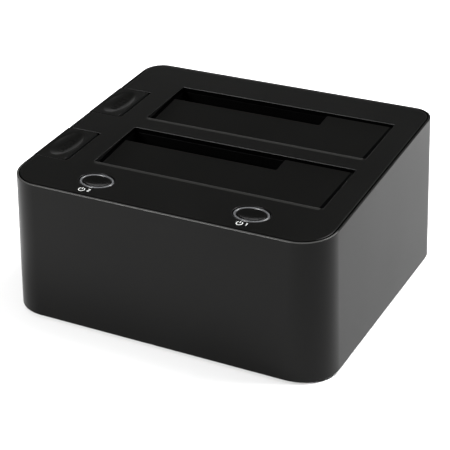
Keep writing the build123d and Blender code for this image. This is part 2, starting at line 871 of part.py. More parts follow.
# Power keys, their light rings and the switches under them
plunger_depth = button_board_depth - tact_height - plunger_proud
cap_x_radius = oval_x_radius - ring_wall - cap_gap
cap_y_radius = oval_y_radius - ring_wall - cap_gap
cap_dish_radius = arc_radius(2 * cap_x_radius, cap_dish)

for number, x in power_xs.items():
    face = oval_plane(x, power_y)

    with BuildPart() as light_ring:
        with BuildSketch(face.offset(-ring_sink)):
            Ellipse(oval_x_radius, oval_y_radius)
        extrude(amount=ring_sink - ring_depth)
        chamfer(light_ring.faces().sort_by(Axis.Z)[-1].edges(), ring_bevel)
        with BuildSketch(face.offset(-panel_thickness)):
            Rectangle(2 * (oval_x_radius + ring_flange), 2 * (oval_y_radius + ring_flange))
        extrude(amount=-ring_flange_thickness)
        with BuildSketch(face):
            Ellipse(oval_x_radius - ring_wall, oval_y_radius - ring_wall)
        extrude(amount=-ring_depth, mode=Mode.SUBTRACT)
    light_ring.part.label = "light_ring_" + number
    export_step(light_ring.part, "parts/" + light_ring.part.label + ".step")

    with BuildPart() as power_key:
        with BuildSketch(face.offset(-cap_sink)):
            Ellipse(cap_x_radius, cap_y_radius)
        extrude(amount=-cap_height)
        chamfer(power_key.faces().sort_by(Axis.Z)[-1].edges(), ring_bevel)
        with Locations(face.offset(cap_dish_radius - cap_sink - cap_dish)):
            Sphere(cap_dish_radius, mode=Mode.SUBTRACT)
        with BuildSketch(face.offset(-cap_sink - cap_height)):
            small_round(cap_stem_radius)
        extrude(amount=cap_sink + cap_height - plunger_depth)
    power_key.part.label = "power_key_" + number
    export_step(power_key.part, "parts/" + power_key.part.label + ".step")

    with BuildPart() as plunger:
        with BuildSketch(face.offset(-plunger_depth)):
            small_round(plunger_radius)
        extrude(amount=-plunger_proud - cap_travel)
    plunger.part.label = "switch_plunger_" + number
    export_step(plunger.part, "parts/" + plunger.part.label + ".step")

    with BuildPart() as tact_switch:
        with BuildSketch(face.offset(-button_board_depth)):
            Rectangle(tact_size, tact_size)
        extrude(amount=tact_height)
        with BuildSketch(face.offset(tact_height - button_board_depth)):
            small_round(plunger_radius + fit)
        extrude(amount=-2 * cap_travel - fit, mode=Mode.SUBTRACT)
    tact_switch.part.label = "tact_switch_" + number
    export_step(tact_switch.part, "parts/" + tact_switch.part.label + ".step")

# Button board hung from the panel, with the lamps under the rings
button_face = oval_plane(sum(power_xs.values()) / 2, power_y).offset(-button_board_depth)
button_board_width = power_xs["1"] - power_xs["2"] + 2 * button_board_margin
with BuildPart() as button_board:
    with BuildSketch(button_face):
        Rectangle(button_board_width, button_board_length)
    extrude(amount=-board_thickness)
    for side in (-1, 1):
        with BuildSketch(oval_plane(side * board_post_x, power_y).offset(-button_board_depth)):
            small_round(small_screw_radius + fit)
        extrude(amount=-board_thickness, mode=Mode.SUBTRACT)
button_board.part.label = "button_board"
export_step(button_board.part, "parts/button_board.step")

with BuildPart() as ring_lamps:
    for x in power_xs.values():
        with BuildSketch(oval_plane(x, power_y).offset(-button_board_depth)):
            with GridLocations(2 * oval_x_radius - ring_wall, 1, 2, 1):
                Rectangle(led_width, led_length)
        extrude(amount=led_height)
ring_lamps.part.label = "ring_lamps"
export_step(ring_lamps.part, "parts/ring_lamps.step")

# Main board with its screws, chips, coils and cans
with BuildPart() as main_board:
    with BuildSketch(Plane.XY.offset(board_z)):
        with Locations(((main_left + main_right) / 2, (main_front + main_rear) / 2)):
            Rectangle(main_right - main_left, main_rear - main_front)
    extrude(amount=main_thickness)
    with BuildSketch(Plane.XY.offset(board_z)):
        with Locations(*main_screws):
            small_round(small_screw_radius + fit)
    extrude(amount=main_thickness, mode=Mode.SUBTRACT)
main_board.part.label = "main_board"
export_step(main_board.part, "parts/main_board.step")

board_screw_faces = [(Plane(origin=(x, y, board_top)), main_thickness) for x, y in main_screws]
for side in (-1, 1):
    under = oval_plane(side * board_post_x, power_y).offset(-button_board_depth - board_thickness)
    board_screw_faces.append((Plane(under.origin, x_dir=(1, 0, 0), z_dir=-under.z_dir), board_thickness))
with BuildPart() as board_screws:
    for head_face, board in board_screw_faces:
        with BuildSketch(head_face):
            small_round(small_head_radius)
        extrude(amount=small_head_height)
        with BuildSketch(head_face):
            small_round(small_screw_radius)
        extrude(amount=-board - small_screw_reach + 4 * fit)
board_screws.part.label = "board_screws"
export_step(board_screws.part, "parts/board_screws.step")

chip_places = [(slot_right - 3 * chip_size, bay_y) for bay_y in bays.values()]
with BuildPart() as bridge_chips:
    with BuildSketch(Plane.XY.offset(board_top)):
        with Locations(*chip_places):
            Rectangle(chip_size, chip_size)
    extrude(amount=chip_height)
bridge_chips.part.label = "bridge_chips"
export_step(bridge_chips.part, "parts/bridge_chips.step")

rear_strip_y = main_rear - 2 * can_radius
can_places = [(main_left + can_inset + step * 3 * can_radius, rear_strip_y) for step in range(3)]
with BuildPart() as capacitors:
    with BuildSketch(Plane.XY.offset(board_top)):
        with Locations(*can_places):
            small_round(can_radius)
    extrude(amount=can_height)
capacitors.part.label = "capacitors"
export_step(capacitors.part, "parts/capacitors.step")

coil_places = [
    ((usb_x + jack_x) / 2, rear_strip_y),
    ((jack_x + jack_width / 2 + main_right) / 2, rear_strip_y),
]
with BuildPart() as power_coils:
    with BuildSketch(Plane.XY.offset(board_top)):
        with Locations(*coil_places):
            Rectangle(coil_size, coil_size)
    extrude(amount=coil_height)
power_coils.part.label = "power_coils"
export_step(power_coils.part, "parts/power_coils.step")

# Headers and the flat ribbon between the two boards
upper_header = oval_plane(0, header_y).offset(-button_board_depth - board_thickness)
with BuildPart() as board_headers:
    with BuildSketch(Plane.XY.offset(board_top)):
        with Locations((0, header_y)):
            Rectangle(header_length, header_width)
    extrude(amount=header_height)
    with BuildSketch(upper_header):
        Rectangle(header_length, header_width)
    extrude(amount=-header_height)
board_headers.part.label = "board_headers"
export_step(board_headers.part, "parts/board_headers.step")

ribbon_low = board_top + header_height + fit
ribbon_high = upper_header.origin.Z - header_height - slope_ratio * header_width
ribbon_run = (ribbon_high - ribbon_low) / 4
with BuildPart() as ribbon_cable:
    with BuildLine(Plane.YZ):
        FilletPolyline(
            (header_y, ribbon_low),
            (header_y, ribbon_low + ribbon_run),
            (header_y - ribbon_bow, ribbon_low + 2 * ribbon_run),
            (header_y, ribbon_low + 3 * ribbon_run),
            (header_y, ribbon_high),
            radius=ribbon_bend,
        )
    with BuildSketch(Plane.XY.offset(ribbon_low)):
        with Locations((0, header_y)):
            Rectangle(ribbon_width, ribbon_thickness)
    sweep()
ribbon_cable.part.label = "ribbon_cable"
export_step(ribbon_cable.part, "parts/ribbon_cable.step")

# Drive sockets: two keyed pockets in a moulded body, with a contact for each circuit
socket_height = well_floor_top - board_top
pocket_floor = well_floor_top - key_slot_depth
pocket_span = signal_slot + pocket_web + power_slot
for bay, bay_y in bays.items():
    socket_x, socket_y = socket_center(bay_y)
    signal_x = socket_x - pocket_span / 2 + signal_slot / 2
    power_x = socket_x + pocket_span / 2 - power_slot / 2
    pockets = [(signal_x, signal_slot), (power_x, power_slot)]

    with BuildPart() as drive_socket:
        with BuildSketch(Plane.XY.offset(board_top)):
            with Locations((socket_x, socket_y)):
                Rectangle(socket_width, socket_thickness)
        extrude(amount=socket_height)
        with BuildSketch(Plane.XY.offset(pocket_floor)):
            for pocket_x, pocket_width in pockets:
                with Locations((pocket_x, socket_y)):
                    Rectangle(pocket_width, key_slot_thickness)
                leg_x = pocket_x + (pocket_width - pocket_leg) / 2
                with Locations((leg_x, socket_y + (key_slot_thickness + pocket_leg) / 2)):
                    Rectangle(pocket_leg, pocket_leg)
        extrude(amount=key_slot_depth, mode=Mode.SUBTRACT)
    drive_socket.part.label = "drive_socket_" + bay
    export_step(drive_socket.part, "parts/" + drive_socket.part.label + ".step")

    with BuildPart() as socket_contacts:
        with BuildSketch(Plane.XY.offset(pocket_floor)):
            contact_y = socket_y - (key_slot_thickness - contact_thickness) / 2
            with Locations((signal_x, contact_y)):
                with GridLocations(contact_pitch, 1, signal_contacts, 1):
                    Rectangle(contact_width, contact_thickness)
            with Locations((power_x, contact_y)):
                with GridLocations(contact_pitch, 1, power_contacts, 1):
                    Rectangle(contact_width, contact_thickness)
        extrude(amount=key_slot_depth - contact_pitch)
    socket_contacts.part.label = "socket_contacts_" + bay
    export_step(socket_contacts.part, "parts/" + socket_contacts.part.label + ".step")

# Rear data socket: a steel shell round a moulded insert with a tongue
usb_z = board_top + usb_height / 2
port_face_y = body_depth / 2 - draft_ratio * (board_top + usb_height) - port_recess
port_plane = Plane.XZ.offset(-port_face_y)
usb_inner_width = usb_width - 2 * usb_shell
usb_inner_height = usb_height - 2 * usb_shell
usb_opening = usb_inner_width - 2 * usb_shell

with BuildPart() as usb_shell_part:
    with BuildSketch(port_plane):
        with Locations((usb_x, usb_z)):
            RectangleRounded(usb_width, usb_height, usb_shell)
            Rectangle(usb_inner_width, usb_inner_height, mode=Mode.SUBTRACT)
    extrude(amount=usb_depth)
usb_shell_part.part.label = "usb_shell"
export_step(usb_shell_part.part, "parts/usb_shell.step")

with BuildPart() as usb_insert:
    with BuildSketch(port_plane.offset(usb_shell)):
        with Locations((usb_x, usb_z)):
            Rectangle(usb_inner_width, usb_inner_height)
    extrude(amount=usb_depth - usb_shell)
    with BuildSketch(port_plane.offset(usb_shell)):
        with Locations((usb_x, usb_z - usb_inner_height / 6)):
            Rectangle(usb_opening, usb_inner_height * 0.6)
            Rectangle(usb_tongue_width, usb_tongue_height, mode=Mode.SUBTRACT)
        with Locations((usb_x, usb_z + usb_inner_height / 3)):
            Rectangle(usb_tongue_width, usb_inner_height / 6)
    extrude(amount=usb_depth * 0.7, mode=Mode.SUBTRACT)
usb_insert.part.label = "usb_insert"
export_step(usb_insert.part, "parts/usb_insert.step")

# Rear power socket with its centre pin
jack_z = board_top + jack_height / 2
with BuildPart() as power_jack:
    with BuildSketch(port_plane):
        with Locations((jack_x, jack_z)):
            Rectangle(jack_width, jack_height)
            Circle(jack_bore_radius, mode=Mode.SUBTRACT)
    extrude(amount=jack_bore_depth)
    with BuildSketch(port_plane.offset(jack_bore_depth)):
        with Locations((jack_x, jack_z)):
            Rectangle(jack_width, jack_height)
    extrude(amount=jack_depth - jack_bore_depth)
power_jack.part.label = "power_jack"
export_step(power_jack.part, "parts/power_jack.step")

with BuildPart() as jack_pin:
    with BuildSketch(port_plane.offset(jack_bore_depth)):
        with Locations((jack_x, jack_z)):
            small_round(jack_pin_radius)
    extrude(amount=usb_shell - jack_bore_depth)
jack_pin.part.label = "jack_pin"
export_step(jack_pin.part, "parts/jack_pin.step")
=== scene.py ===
"""Looks of a dual-bay drive docking station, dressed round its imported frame."""

import json
import logging
import math
from dataclasses import dataclass, field
from enum import Enum
from typing import Any, Mapping, Protocol, Sequence

import bmesh
import bpy
import numpy as np
from mathutils import Matrix, Vector


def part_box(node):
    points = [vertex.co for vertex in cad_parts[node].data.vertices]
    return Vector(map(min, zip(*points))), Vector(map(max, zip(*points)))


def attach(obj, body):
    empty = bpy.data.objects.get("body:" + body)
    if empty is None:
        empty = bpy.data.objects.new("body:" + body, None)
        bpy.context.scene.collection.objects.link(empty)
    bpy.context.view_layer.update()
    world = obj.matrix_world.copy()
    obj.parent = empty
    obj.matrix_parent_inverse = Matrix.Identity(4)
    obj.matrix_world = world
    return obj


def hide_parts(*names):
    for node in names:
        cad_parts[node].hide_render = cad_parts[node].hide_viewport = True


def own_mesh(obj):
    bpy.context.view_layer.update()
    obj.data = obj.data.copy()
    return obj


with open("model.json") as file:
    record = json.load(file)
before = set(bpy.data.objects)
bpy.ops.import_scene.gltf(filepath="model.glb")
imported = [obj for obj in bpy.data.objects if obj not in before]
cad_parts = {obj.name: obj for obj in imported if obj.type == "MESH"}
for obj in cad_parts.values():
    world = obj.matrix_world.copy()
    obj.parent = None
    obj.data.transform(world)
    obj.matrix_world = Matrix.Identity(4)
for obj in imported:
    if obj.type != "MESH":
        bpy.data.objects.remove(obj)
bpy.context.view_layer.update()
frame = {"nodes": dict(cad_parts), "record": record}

MM = 0.001
TOP_HEIGHT = 65.0 * MM  # of the sloping top, at depth Y nought
TOP_SLOPE = math.radians(3.43)
STEEPNESS = math.tan(TOP_SLOPE)
WELL_FRONT = 3.8 * MM  # from a well's front side to its slot's front edge
ROUND_SIDES = 72
SMALL_SIDES = 36
DOUBLED = 0.0005 * MM  # new points nearer than this are one
SLIVER = 0.03 * MM  # CAD points nearer than this are one
FLAT_ANGLE = math.radians(0.5)
ROUNDED_ANGLE = math.radians(35)
CREASE_ANGLE = math.radians(38)
log = logging.getLogger("docking_station")

Colour = tuple[float, float, float]
Point = tuple[float, float, float]
Place = tuple[float, float]
Plane = tuple[Point, float]


class Bay(Enum):
    """The two drive bays, by the word that ends their nodes' names."""

    FRONT = "front"
    REAR = "rear"


class Digit(Enum):
    """The digits printed beside the power keys, which also end their nodes' names."""

    ONE = "1"
    TWO = "2"


class Value:
    """A number that varies over a surface; arithmetic on it adds Math nodes."""

    def __init__(self, shader: "Shader", socket: bpy.types.NodeSocket) -> None:
        """Wrap one output socket of a shader's node."""
        self.shader = shader
        self.socket = socket

    def __add__(self, other: "Value | float") -> "Value":
        """Sum of two values."""
        return self.shader.math("ADD", self, other)

    __radd__ = __add__

    def __mul__(self, other: "Value | float") -> "Value":
        """Product of two values."""
        return self.shader.math("MULTIPLY", self, other)

    __rmul__ = __mul__

    def __sub__(self, other: "Value | float") -> "Value":
        """Difference of two values."""
        return self.shader.math("SUBTRACT", self, other)

    def __rsub__(self, other: "Value | float") -> "Value":
        """Reflected difference, so that 1 - mask works."""
        return self.shader.math("SUBTRACT", other, self)

    def __gt__(self, other: "Value | float") -> "Value":
        """One where the value is above the other, and nought elsewhere."""
        return self.shader.math("GREATER_THAN", self, other)

    def __lt__(self, other: "Value | float") -> "Value":
        """One where the value is below the other, and nought elsewhere."""
        return self.shader.math("LESS_THAN", self, other)

    def swing(self, width: float) -> "Value":
        """The value, which runs from 0 to 1, as a swing of the given width round nought."""
        return (self - 0.5) * width


class Tree:
    """A node tree in which one method makes every node."""

    def __init__(self, tree: bpy.types.NodeTree) -> None:
        """Take a tree over and empty it."""
        self.tree = tree
        self.tree.nodes.clear()

    def node(
        self,
        kind: str,
        settings: Mapping[str, Any] | None = None,
        values: Mapping[str | int, Any] | None = None,
    ) -> bpy.types.Node:
        """Add any node, set it up and feed its sockets.

        Args:
            kind: Blender's name of the node type.
            settings: Properties of the node, set before its sockets.
            values: Constants, values or sockets for the inputs, by name or number.

        Returns:
            The new node.
        """
        made = self.tree.nodes.new(kind)
        for key, setting in (settings or {}).items():
            setattr(made, key, setting)
        for key, given in (values or {}).items():
            socket = made.inputs[key]
            if isinstance(given, Value):
                given = given.socket
            if isinstance(given, bpy.types.NodeSocket):
                self.tree.links.new(given, socket)
            elif isinstance(given, tuple) and socket.type == "RGBA":
                socket.default_value = (*given, 1)
            else:
                socket.default_value = given
        return made


class Shader(Tree):
    """The node tree of one material, ending in a Principled surface."""

    def __init__(self, name: str) -> None:
        """Start an empty material.

        Args:
            name: The material's name.
        """
        self.material = bpy.data.materials.new(name)
        self.material.use_nodes = True
        super().__init__(self.material.node_tree)
        self.place = self.node("ShaderNodeTexCoord").outputs["Object"]

    def math(self, operation: str, *operands: Value | float) -> Value:
        """Add a Math node and return its result."""
        made = self.node("ShaderNodeMath", {"operation": operation}, dict(enumerate(operands)))
        return Value(self, made.outputs[0])

    def noise(self, size: float, detail: float = 2.0, stretch: Point = (1, 1, 1)) -> Value:
        """Cloudy noise whose lumps are about the given size across.

        Args:
            size: Width of a lump in metres.
            detail: Number of finer octaves.
            stretch: How much each axis is squeezed before the noise is read.

        Returns:
            The noise, from 0 to 1.
        """
        mapped = self.node("ShaderNodeMapping", values={"Vector": self.place, "Scale": stretch})
        made = self.node(
            "ShaderNodeTexNoise",
            values={"Vector": mapped.outputs[0], "Scale": 1 / size, "Detail": detail},
        )
        return Value(self, made.outputs[0])

    def mix(self, share: Value | float, low: Any, high: Any) -> bpy.types.NodeSocket:
        """Blend two colours by a share and return the colour's socket."""
        made = self.node("ShaderNodeMix", {"data_type": "RGBA"}, {0: share, 6: low, 7: high})
        return made.outputs[2]

    def bump(self, height: Value, distance: float) -> bpy.types.NodeSocket:
        """Turn a height into a bumped normal, for relief of the given depth in metres."""
        values = {"Height": height, "Distance": distance, "Strength": 1.0}
        return self.node("ShaderNodeBump", values=values).outputs[0]

    def surface(self, values: Mapping[str | int, Any]) -> bpy.types.Material:
        """Close the tree with a Principled surface.

        Args:
            values: What the surface's sockets are fed with.

        Returns:
            The finished material.
        """
        skinned = self.node("ShaderNodeBsdfPrincipled", values=values)
        self.node("ShaderNodeOutputMaterial", values={"Surface": skinned.outputs[0]})
        return self.material


@dataclass(frozen=True)
class Patch:
    """The part of a piece beyond some planes, recoloured as painted shade in a gap or as a painted
    highlight along an edge.

    A point p lies in it where p . across is more than beyond, for each plane's pair of them.
    """

    planes: tuple[Plane, ...]
    # the default colour is near black: painted shade
    colour: Colour = (0.0002, 0.0002, 0.0002)
    gloss: float = 0.1

    def mask(self, shader: Shader) -> Value:
        """Add the nodes that tell inside from outside.

        Args:
            shader: The shader of the piece's finish.

        Returns:
            One inside the patch and nought elsewhere.
        """
        inside: Value | float = 1.0
        for across, beyond in self.planes:
            reach = shader.node(
                "ShaderNodeVectorMath", {"operation": "DOT_PRODUCT"}, {0: shader.place, 1: across}
            )
            inside = (Value(shader, reach.outputs["Value"]) > beyond) * inside
        return inside


@dataclass(frozen=True)
class MouldedPlastic:
    """Black moulded plastic with a fine spark-eroded grain and faint mould flow, and patches of
    painted shade and painted highlights.
    """

    name: str
    colour: Colour = (0.0018, 0.0018, 0.0017)
    pale: Colour = (0.0028, 0.0028, 0.0026)
    roughness: float = 0.33
    uneven: float = 0.05
    grain: float = 0.35 * MM
    relief: float = 0.006 * MM
    flow: float = 38 * MM
    flow_detail: float = 3.0
    ior: float = 1.18
    patches: tuple[Patch, ...] = ()

    def material(self) -> bpy.types.Material:
        """Build the finish, with its patches of painted shade and painted highlight over it.

        Returns:
            The material.
        """
        shader = Shader(self.name)
        flow = shader.noise(self.flow, self.flow_detail)
        grain = shader.noise(self.grain)
        colour = shader.mix(flow, self.colour, self.pale)
        roughness = self.roughness + flow.swing(self.uneven) + grain.swing(self.uneven)
        # each patch paints shade or a highlight into the base colour
        for patch in self.patches:
            inside = patch.mask(shader)
            colour = shader.mix(inside, colour, patch.colour)
            roughness = roughness - inside * patch.gloss
        return shader.surface(
            {
                "Base Color": colour,
                "Roughness": roughness,
                "IOR": self.ior,
                "Normal": shader.bump(grain, self.relief),
            }
        )


@dataclass(frozen=True)
class SatinMetal:
    """Plated or drawn metal with fine scratches along one axis."""

    name: str
    colour: Colour = (0.60, 0.60, 0.58)
    tarnish: Colour = (0.42, 0.41, 0.39)
    roughness: float = 0.3
    uneven: float = 0.2
    cloud: float = 4 * MM
    cloud_detail: float = 3.0
    scratch: float = 0.25 * MM
    along: Point = (0.06, 1, 1)
    relief: float = 0.004 * MM

    def material(self) -> bpy.types.Material:
        """Build the finish.

        Returns:
            The material.
        """
        shader = Shader(self.name)
        clouds = shader.noise(self.cloud, self.cloud_detail)
        lines = shader.noise(self.scratch, stretch=self.along)
        return shader.surface(
            {
                "Base Color": shader.mix(clouds, self.colour, self.tarnish),
                "Metallic": 1.0,
                "Roughness": self.roughness + lines.swing(self.uneven),
                "Normal": shader.bump(lines, self.relief),
            }
        )


@dataclass(frozen=True)
class Rubber:
    """Matt black rubber with a mealy skin."""

    name: str
    colour: Colour = (0.010, 0.010, 0.010)
    dusty: Colour = (0.022, 0.021, 0.020)
    roughness: float = 0.72
    uneven: float = 0.15
    dust: float = 2.5 * MM
    dust_detail: float = 4.0
    meal: float = 0.15 * MM
    relief: float = 0.01 * MM
    ior: float = 1.4

    def material(self) -> bpy.types.Material:
        """Build the finish.

        Returns:
            The material.
        """
        shader = Shader(self.name)
        dust = shader.noise(self.dust, self.dust_detail)
        meal = shader.noise(self.meal)
        return shader.surface(
            {
                "Base Color": shader.mix(dust, self.colour, self.dusty),
                "Roughness": self.roughness + dust.swing(self.uneven),
                "IOR": self.ior,
                "Normal": shader.bump(meal, self.relief),
            }
        )


@dataclass(frozen=True)
class SmokedRing:
    """Grey translucent plastic that pipes light, cloudy inside and glossy outside."""

    name: str
    colour: Colour = (0.040, 0.041, 0.043)
    milky: Colour = (0.080, 0.081, 0.085)
    roughness: float = 0.28
    uneven: float = 0.06
    haze: float = 3.0 * MM
    haze_detail: float = 3.0
    grain: float = 0.3 * MM
    relief: float = 0.004 * MM
    ior: float = 1.45
    depth_share: float = 0.15
    depth: float = 0.8 * MM

    def material(self) -> bpy.types.Material:
        """Build the finish.

        Returns:
            The material.
        """
        shader = Shader(self.name)
        haze = shader.noise(self.haze, self.haze_detail)
        grain = shader.noise(self.grain)
        return shader.surface(
            {
                "Base Color": shader.mix(haze, self.colour, self.milky),
                "Roughness": self.roughness + grain.swing(self.uneven),
                "IOR": self.ior,
                "Subsurface Weight": self.depth_share,
                "Subsurface Scale": self.depth,
                "Subsurface Radius": (1.0, 1.0, 1.0),
                "Normal": shader.bump(grain, self.relief),
            }
        )


@dataclass(frozen=True)
class PrintedInk:
    """Pad-printed white ink, slightly uneven where the grain of the plastic shows through."""

    name: str
    colour: Colour = (0.62, 0.63, 0.62)
    thin: Colour = (0.34, 0.345, 0.34)
    roughness: float = 0.55
    uneven: float = 0.2
    grain: float = 0.2 * MM
    grain_detail: float = 3.0
    relief: float = 0.006 * MM

    def material(self) -> bpy.types.Material:
        """Build the finish.

        Returns:
            The material.
        """
        shader = Shader(self.name)
        grain = shader.noise(self.grain, self.grain_detail)
        return shader.surface(
            {
                "Base Color": shader.mix(grain, self.colour, self.thin),
                "Roughness": self.roughness + grain.swing(self.uneven),
                "Normal": shader.bump(grain, self.relief),
            }
        )


@dataclass(frozen=True)
class CircuitBoard:
    """Solder mask over copper: raised tracks, pads in a grid and bare laminate between."""

    name: str
    mask: Colour = (0.004, 0.050, 0.014)
    track: Colour = (0.010, 0.095, 0.028)
    pad: Colour = (0.62, 0.60, 0.52)
    track_pitch: float = 1.3 * MM
    track_above: float = 0.62
    region: float = 9 * MM
    routed_above: float = 0.5
    pad_pitch: float = 5.08 * MM
    pad_scatter: float = 0.35
    pad_radius: float = 0.12
    pad_metallic: float = 0.9
    roughness: float = 0.34
    pad_roughness: float = 0.1
    relief: float = 0.03 * MM

    def material(self) -> bpy.types.Material:
        """Build the finish: bands cut off at a height, and cells cut off at a radius.

        A wave of scale s turns 20 s radians a metre, so a scale of pi / (20 pitch) gives the
        tracks their pitch.

        Returns:
            The material.
        """
        shader = Shader(self.name)
        region = shader.noise(self.region, 1.0)
        wave_scale = math.pi / (20 * self.track_pitch)
        bands = shader.node(
            "ShaderNodeTexWave",
            {"wave_type": "BANDS", "bands_direction": "X", "wave_profile": "TRI"},
            {"Vector": shader.place, "Scale": wave_scale, "Distortion": 0.0},
        )
        routed = region > self.routed_above
        tracks = (Value(shader, bands.outputs["Fac"]) > self.track_above) * routed
        cells = shader.node(
            "ShaderNodeTexVoronoi",
            {"feature": "F1"},
            {"Vector": shader.place, "Scale": 1 / self.pad_pitch, "Randomness": self.pad_scatter},
        )
        pads = Value(shader, cells.outputs["Distance"]) < self.pad_radius
        copper = shader.mix(tracks, self.mask, self.track)
        return shader.surface(
            {
                "Base Color": shader.mix(pads, copper, self.pad),
                "Metallic": pads * self.pad_metallic,
                "Roughness": self.roughness + pads * self.pad_roughness,
                "Normal": shader.bump(tracks + pads, self.relief),
            }
        )


class Finish(Protocol):
    """Anything that can build a material."""

    name: str

    def material(self) -> bpy.types.Material:
        """Build the finish."""


def under_top(right: float, down: float, limit: float) -> Plane:
    """The plane beyond which right x + down d is above a limit.

    Here d is the depth under the sloping top, TOP_HEIGHT + STEEPNESS y - z.

    Args:
        right: How much x counts.
        down: How much the depth counts.
        limit: The limit in metres.

    Returns:
        The plane, for a Patch.
    """
    return (right, down * STEEPNESS, -down), limit - down * TOP_HEIGHT


def painted_edge_highlight(bay: Bay) -> Patch:
    """The band along a slot's front edge, painted paler: a painted highlight where the rounded edge
    would catch the light.

    Args:
        bay: The bay whose slot it is.

    Returns:
        The patch, from a little before the edge to a little down the sill behind it.
    """
    before, behind = 1.7 * MM, 0.4 * MM
    low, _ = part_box("drive_well_" + bay.value)
    edge = low.y + WELL_FRONT
    left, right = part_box("flap_" + bay.value)
    return Patch(
        (
            ((0, 1, 0), edge - before),
            ((0, -1, 0), -edge - behind),
            ((1, 0, 0), left.x),
            ((-1, 0, 0), -right.x),
        ),
        # paler colour: a painted highlight
        colour=(0.011, 0.011, 0.0105),
        gloss=0.0,
    )


SLOT_SHADE = Patch((under_top(right=0, down=1, limit=0.5 * MM),))
FLAP_SHADE = Patch((under_top(right=1, down=0.89, limit=57.95 * MM),))
KEY_SHADE = Patch((under_top(right=1, down=0, limit=-56.5 * MM),), gloss=-0.4)
# A paler band along the front rim's crest: a painted highlight.
PAINTED_RIM_HIGHLIGHT = Patch(
    (under_top(right=0, down=-1, limit=-0.32 * MM), ((0, -1, 0), 48 * MM)),
    colour=(0.032, 0.032, 0.031),
)

FINISHES: tuple[Finish, ...] = (
    MouldedPlastic("housing_plastic", patches=(PAINTED_RIM_HIGHLIGHT,)),
    MouldedPlastic(
        "panel_plastic", patches=(painted_edge_highlight(Bay.FRONT), painted_edge_highlight(Bay.REAR), SLOT_SHADE)
    ),
    MouldedPlastic("base_plastic", roughness=0.45),
    # The wells are darker than the other plastic: painted shade deep in the slots.
    MouldedPlastic(
        "well_plastic", (0.0006, 0.0006, 0.0006), (0.0009, 0.0009, 0.0009), 0.3, ior=1.05
    ),
    MouldedPlastic("flap_plastic", patches=(FLAP_SHADE,)),
    MouldedPlastic("key_plastic", patches=(KEY_SHADE,)),
    MouldedPlastic("rocker_plastic", roughness=0.45),
    MouldedPlastic("cap_plastic", roughness=0.25),
    SmokedRing("ring_plastic"),
    MouldedPlastic("plunger_plastic", (0.5, 0.5, 0.48), (0.55, 0.55, 0.52)),
    MouldedPlastic("switch_plastic"),
    Rubber("foot_rubber"),
    SatinMetal("screw_steel", (0.10, 0.10, 0.11), (0.06, 0.06, 0.06), 0.35),
    SatinMetal("pin_steel"),
    SatinMetal("spring_steel", roughness=0.22),
    CircuitBoard("board_green"),
    MouldedPlastic("lamp_plastic", (0.7, 0.7, 0.66), (0.75, 0.75, 0.7), 0.3),
    MouldedPlastic("chip_black", roughness=0.5),
    SatinMetal("can_aluminium", (0.8, 0.8, 0.8), (0.66, 0.66, 0.66)),
    MouldedPlastic("coil_ferrite", (0.03, 0.03, 0.032), (0.05, 0.05, 0.05), 0.6),
    MouldedPlastic("header_plastic", (0.6, 0.58, 0.5), (0.66, 0.64, 0.56), 0.4),
    MouldedPlastic("ribbon_grey", (0.3, 0.3, 0.3), (0.36, 0.36, 0.36), 0.5),
    SatinMetal("port_steel"),
    MouldedPlastic("port_plastic", roughness=0.4),
    MouldedPlastic("port_blue", (0.008, 0.035, 0.22), (0.010, 0.042, 0.25), 0.35),
    MouldedPlastic("socket_plastic", roughness=0.42),
    SatinMetal("contact_gold", (0.85, 0.60, 0.22), (0.76, 0.52, 0.18), 0.25),
    PrintedInk("printed_ink"),
)


class Wardrobe:
    """Every finish of the dock as a material, made once and shared."""

    def __init__(self, finishes: Sequence[Finish]) -> None:
        """Build all the materials, by the names of their finishes."""
        self.materials = {finish.name: finish.material() for finish in finishes}

    def dress(self, thing: bpy.types.Object, name: str) -> None:
        """Give an object one finish and take away any other."""
        thing.data.materials.clear()
        thing.data.materials.append(self.materials[name])


def grid_faces(rows: int, columns: int, loop_rows: bool) -> np.ndarray:
    """Quads of a grid of points that are numbered row by row, each row a closed ring.

    The face at row i and column j joins points (i, j), (i, j + 1), (i + 1, j + 1) and
    (i + 1, j). The last column joins the first, and so does the last row where rows loop.

    Args:
        rows: Number of rows of points.
        columns: Number of points in a row.
        loop_rows: Whether the last row joins the first.

    Returns:
        An array of four point numbers for each face.
    """
    i = np.arange(rows if loop_rows else rows - 1)[:, None]
    j = np.arange(columns)[None, :]
    ahead, beside = (i + 1) % rows, (j + 1) % columns
    corners = (i * columns + j, i * columns + beside, ahead * columns + beside, ahead * columns + j)
    return np.stack(corners, -1).reshape(-1, 4)


def stacked_ovals(
    across: np.ndarray,
    along: np.ndarray,
    heights: np.ndarray,
    sides: int,
    swell: np.ndarray | float = 1.0,
) -> np.ndarray:
    """Points of ovals stacked on each other.

    Row i is the ellipse (across[i] cos t, along[i] sin t) at heights[i], for t from 0 to a
    full turn, and swell widens or narrows it point by point.

    Args:
        across: Half width of each row along X.
        along: Half width of each row along Y.
        heights: Height of each row.
        sides: Number of points in a row.
        swell: A factor for the whole, or one for each point.

    Returns:
        An array of rows by sides by three.
    """
    turn = np.linspace(0, 2 * np.pi, sides, endpoint=False)[None, :]
    x = across[:, None] * np.cos(turn) * swell
    y = along[:, None] * np.sin(turn) * swell
    z = np.broadcast_to(heights[:, None], x.shape)
    return np.stack((x, y, z), -1)


def arc(radius: float, start: float, end: float, steps: int) -> tuple[np.ndarray, np.ndarray]:
    """Offsets along an arc: (radius cos a, radius sin a) for a from start to end in degrees."""
    angle = np.radians(np.linspace(start, end, steps))
    return radius * np.cos(angle), radius * np.sin(angle)


def headings(path: np.ndarray) -> np.ndarray:
    """Direction at each point of a path: its gradient, made one unit long."""
    ahead = np.gradient(path, axis=0)
    return ahead / np.linalg.norm(ahead, axis=1, keepdims=True)


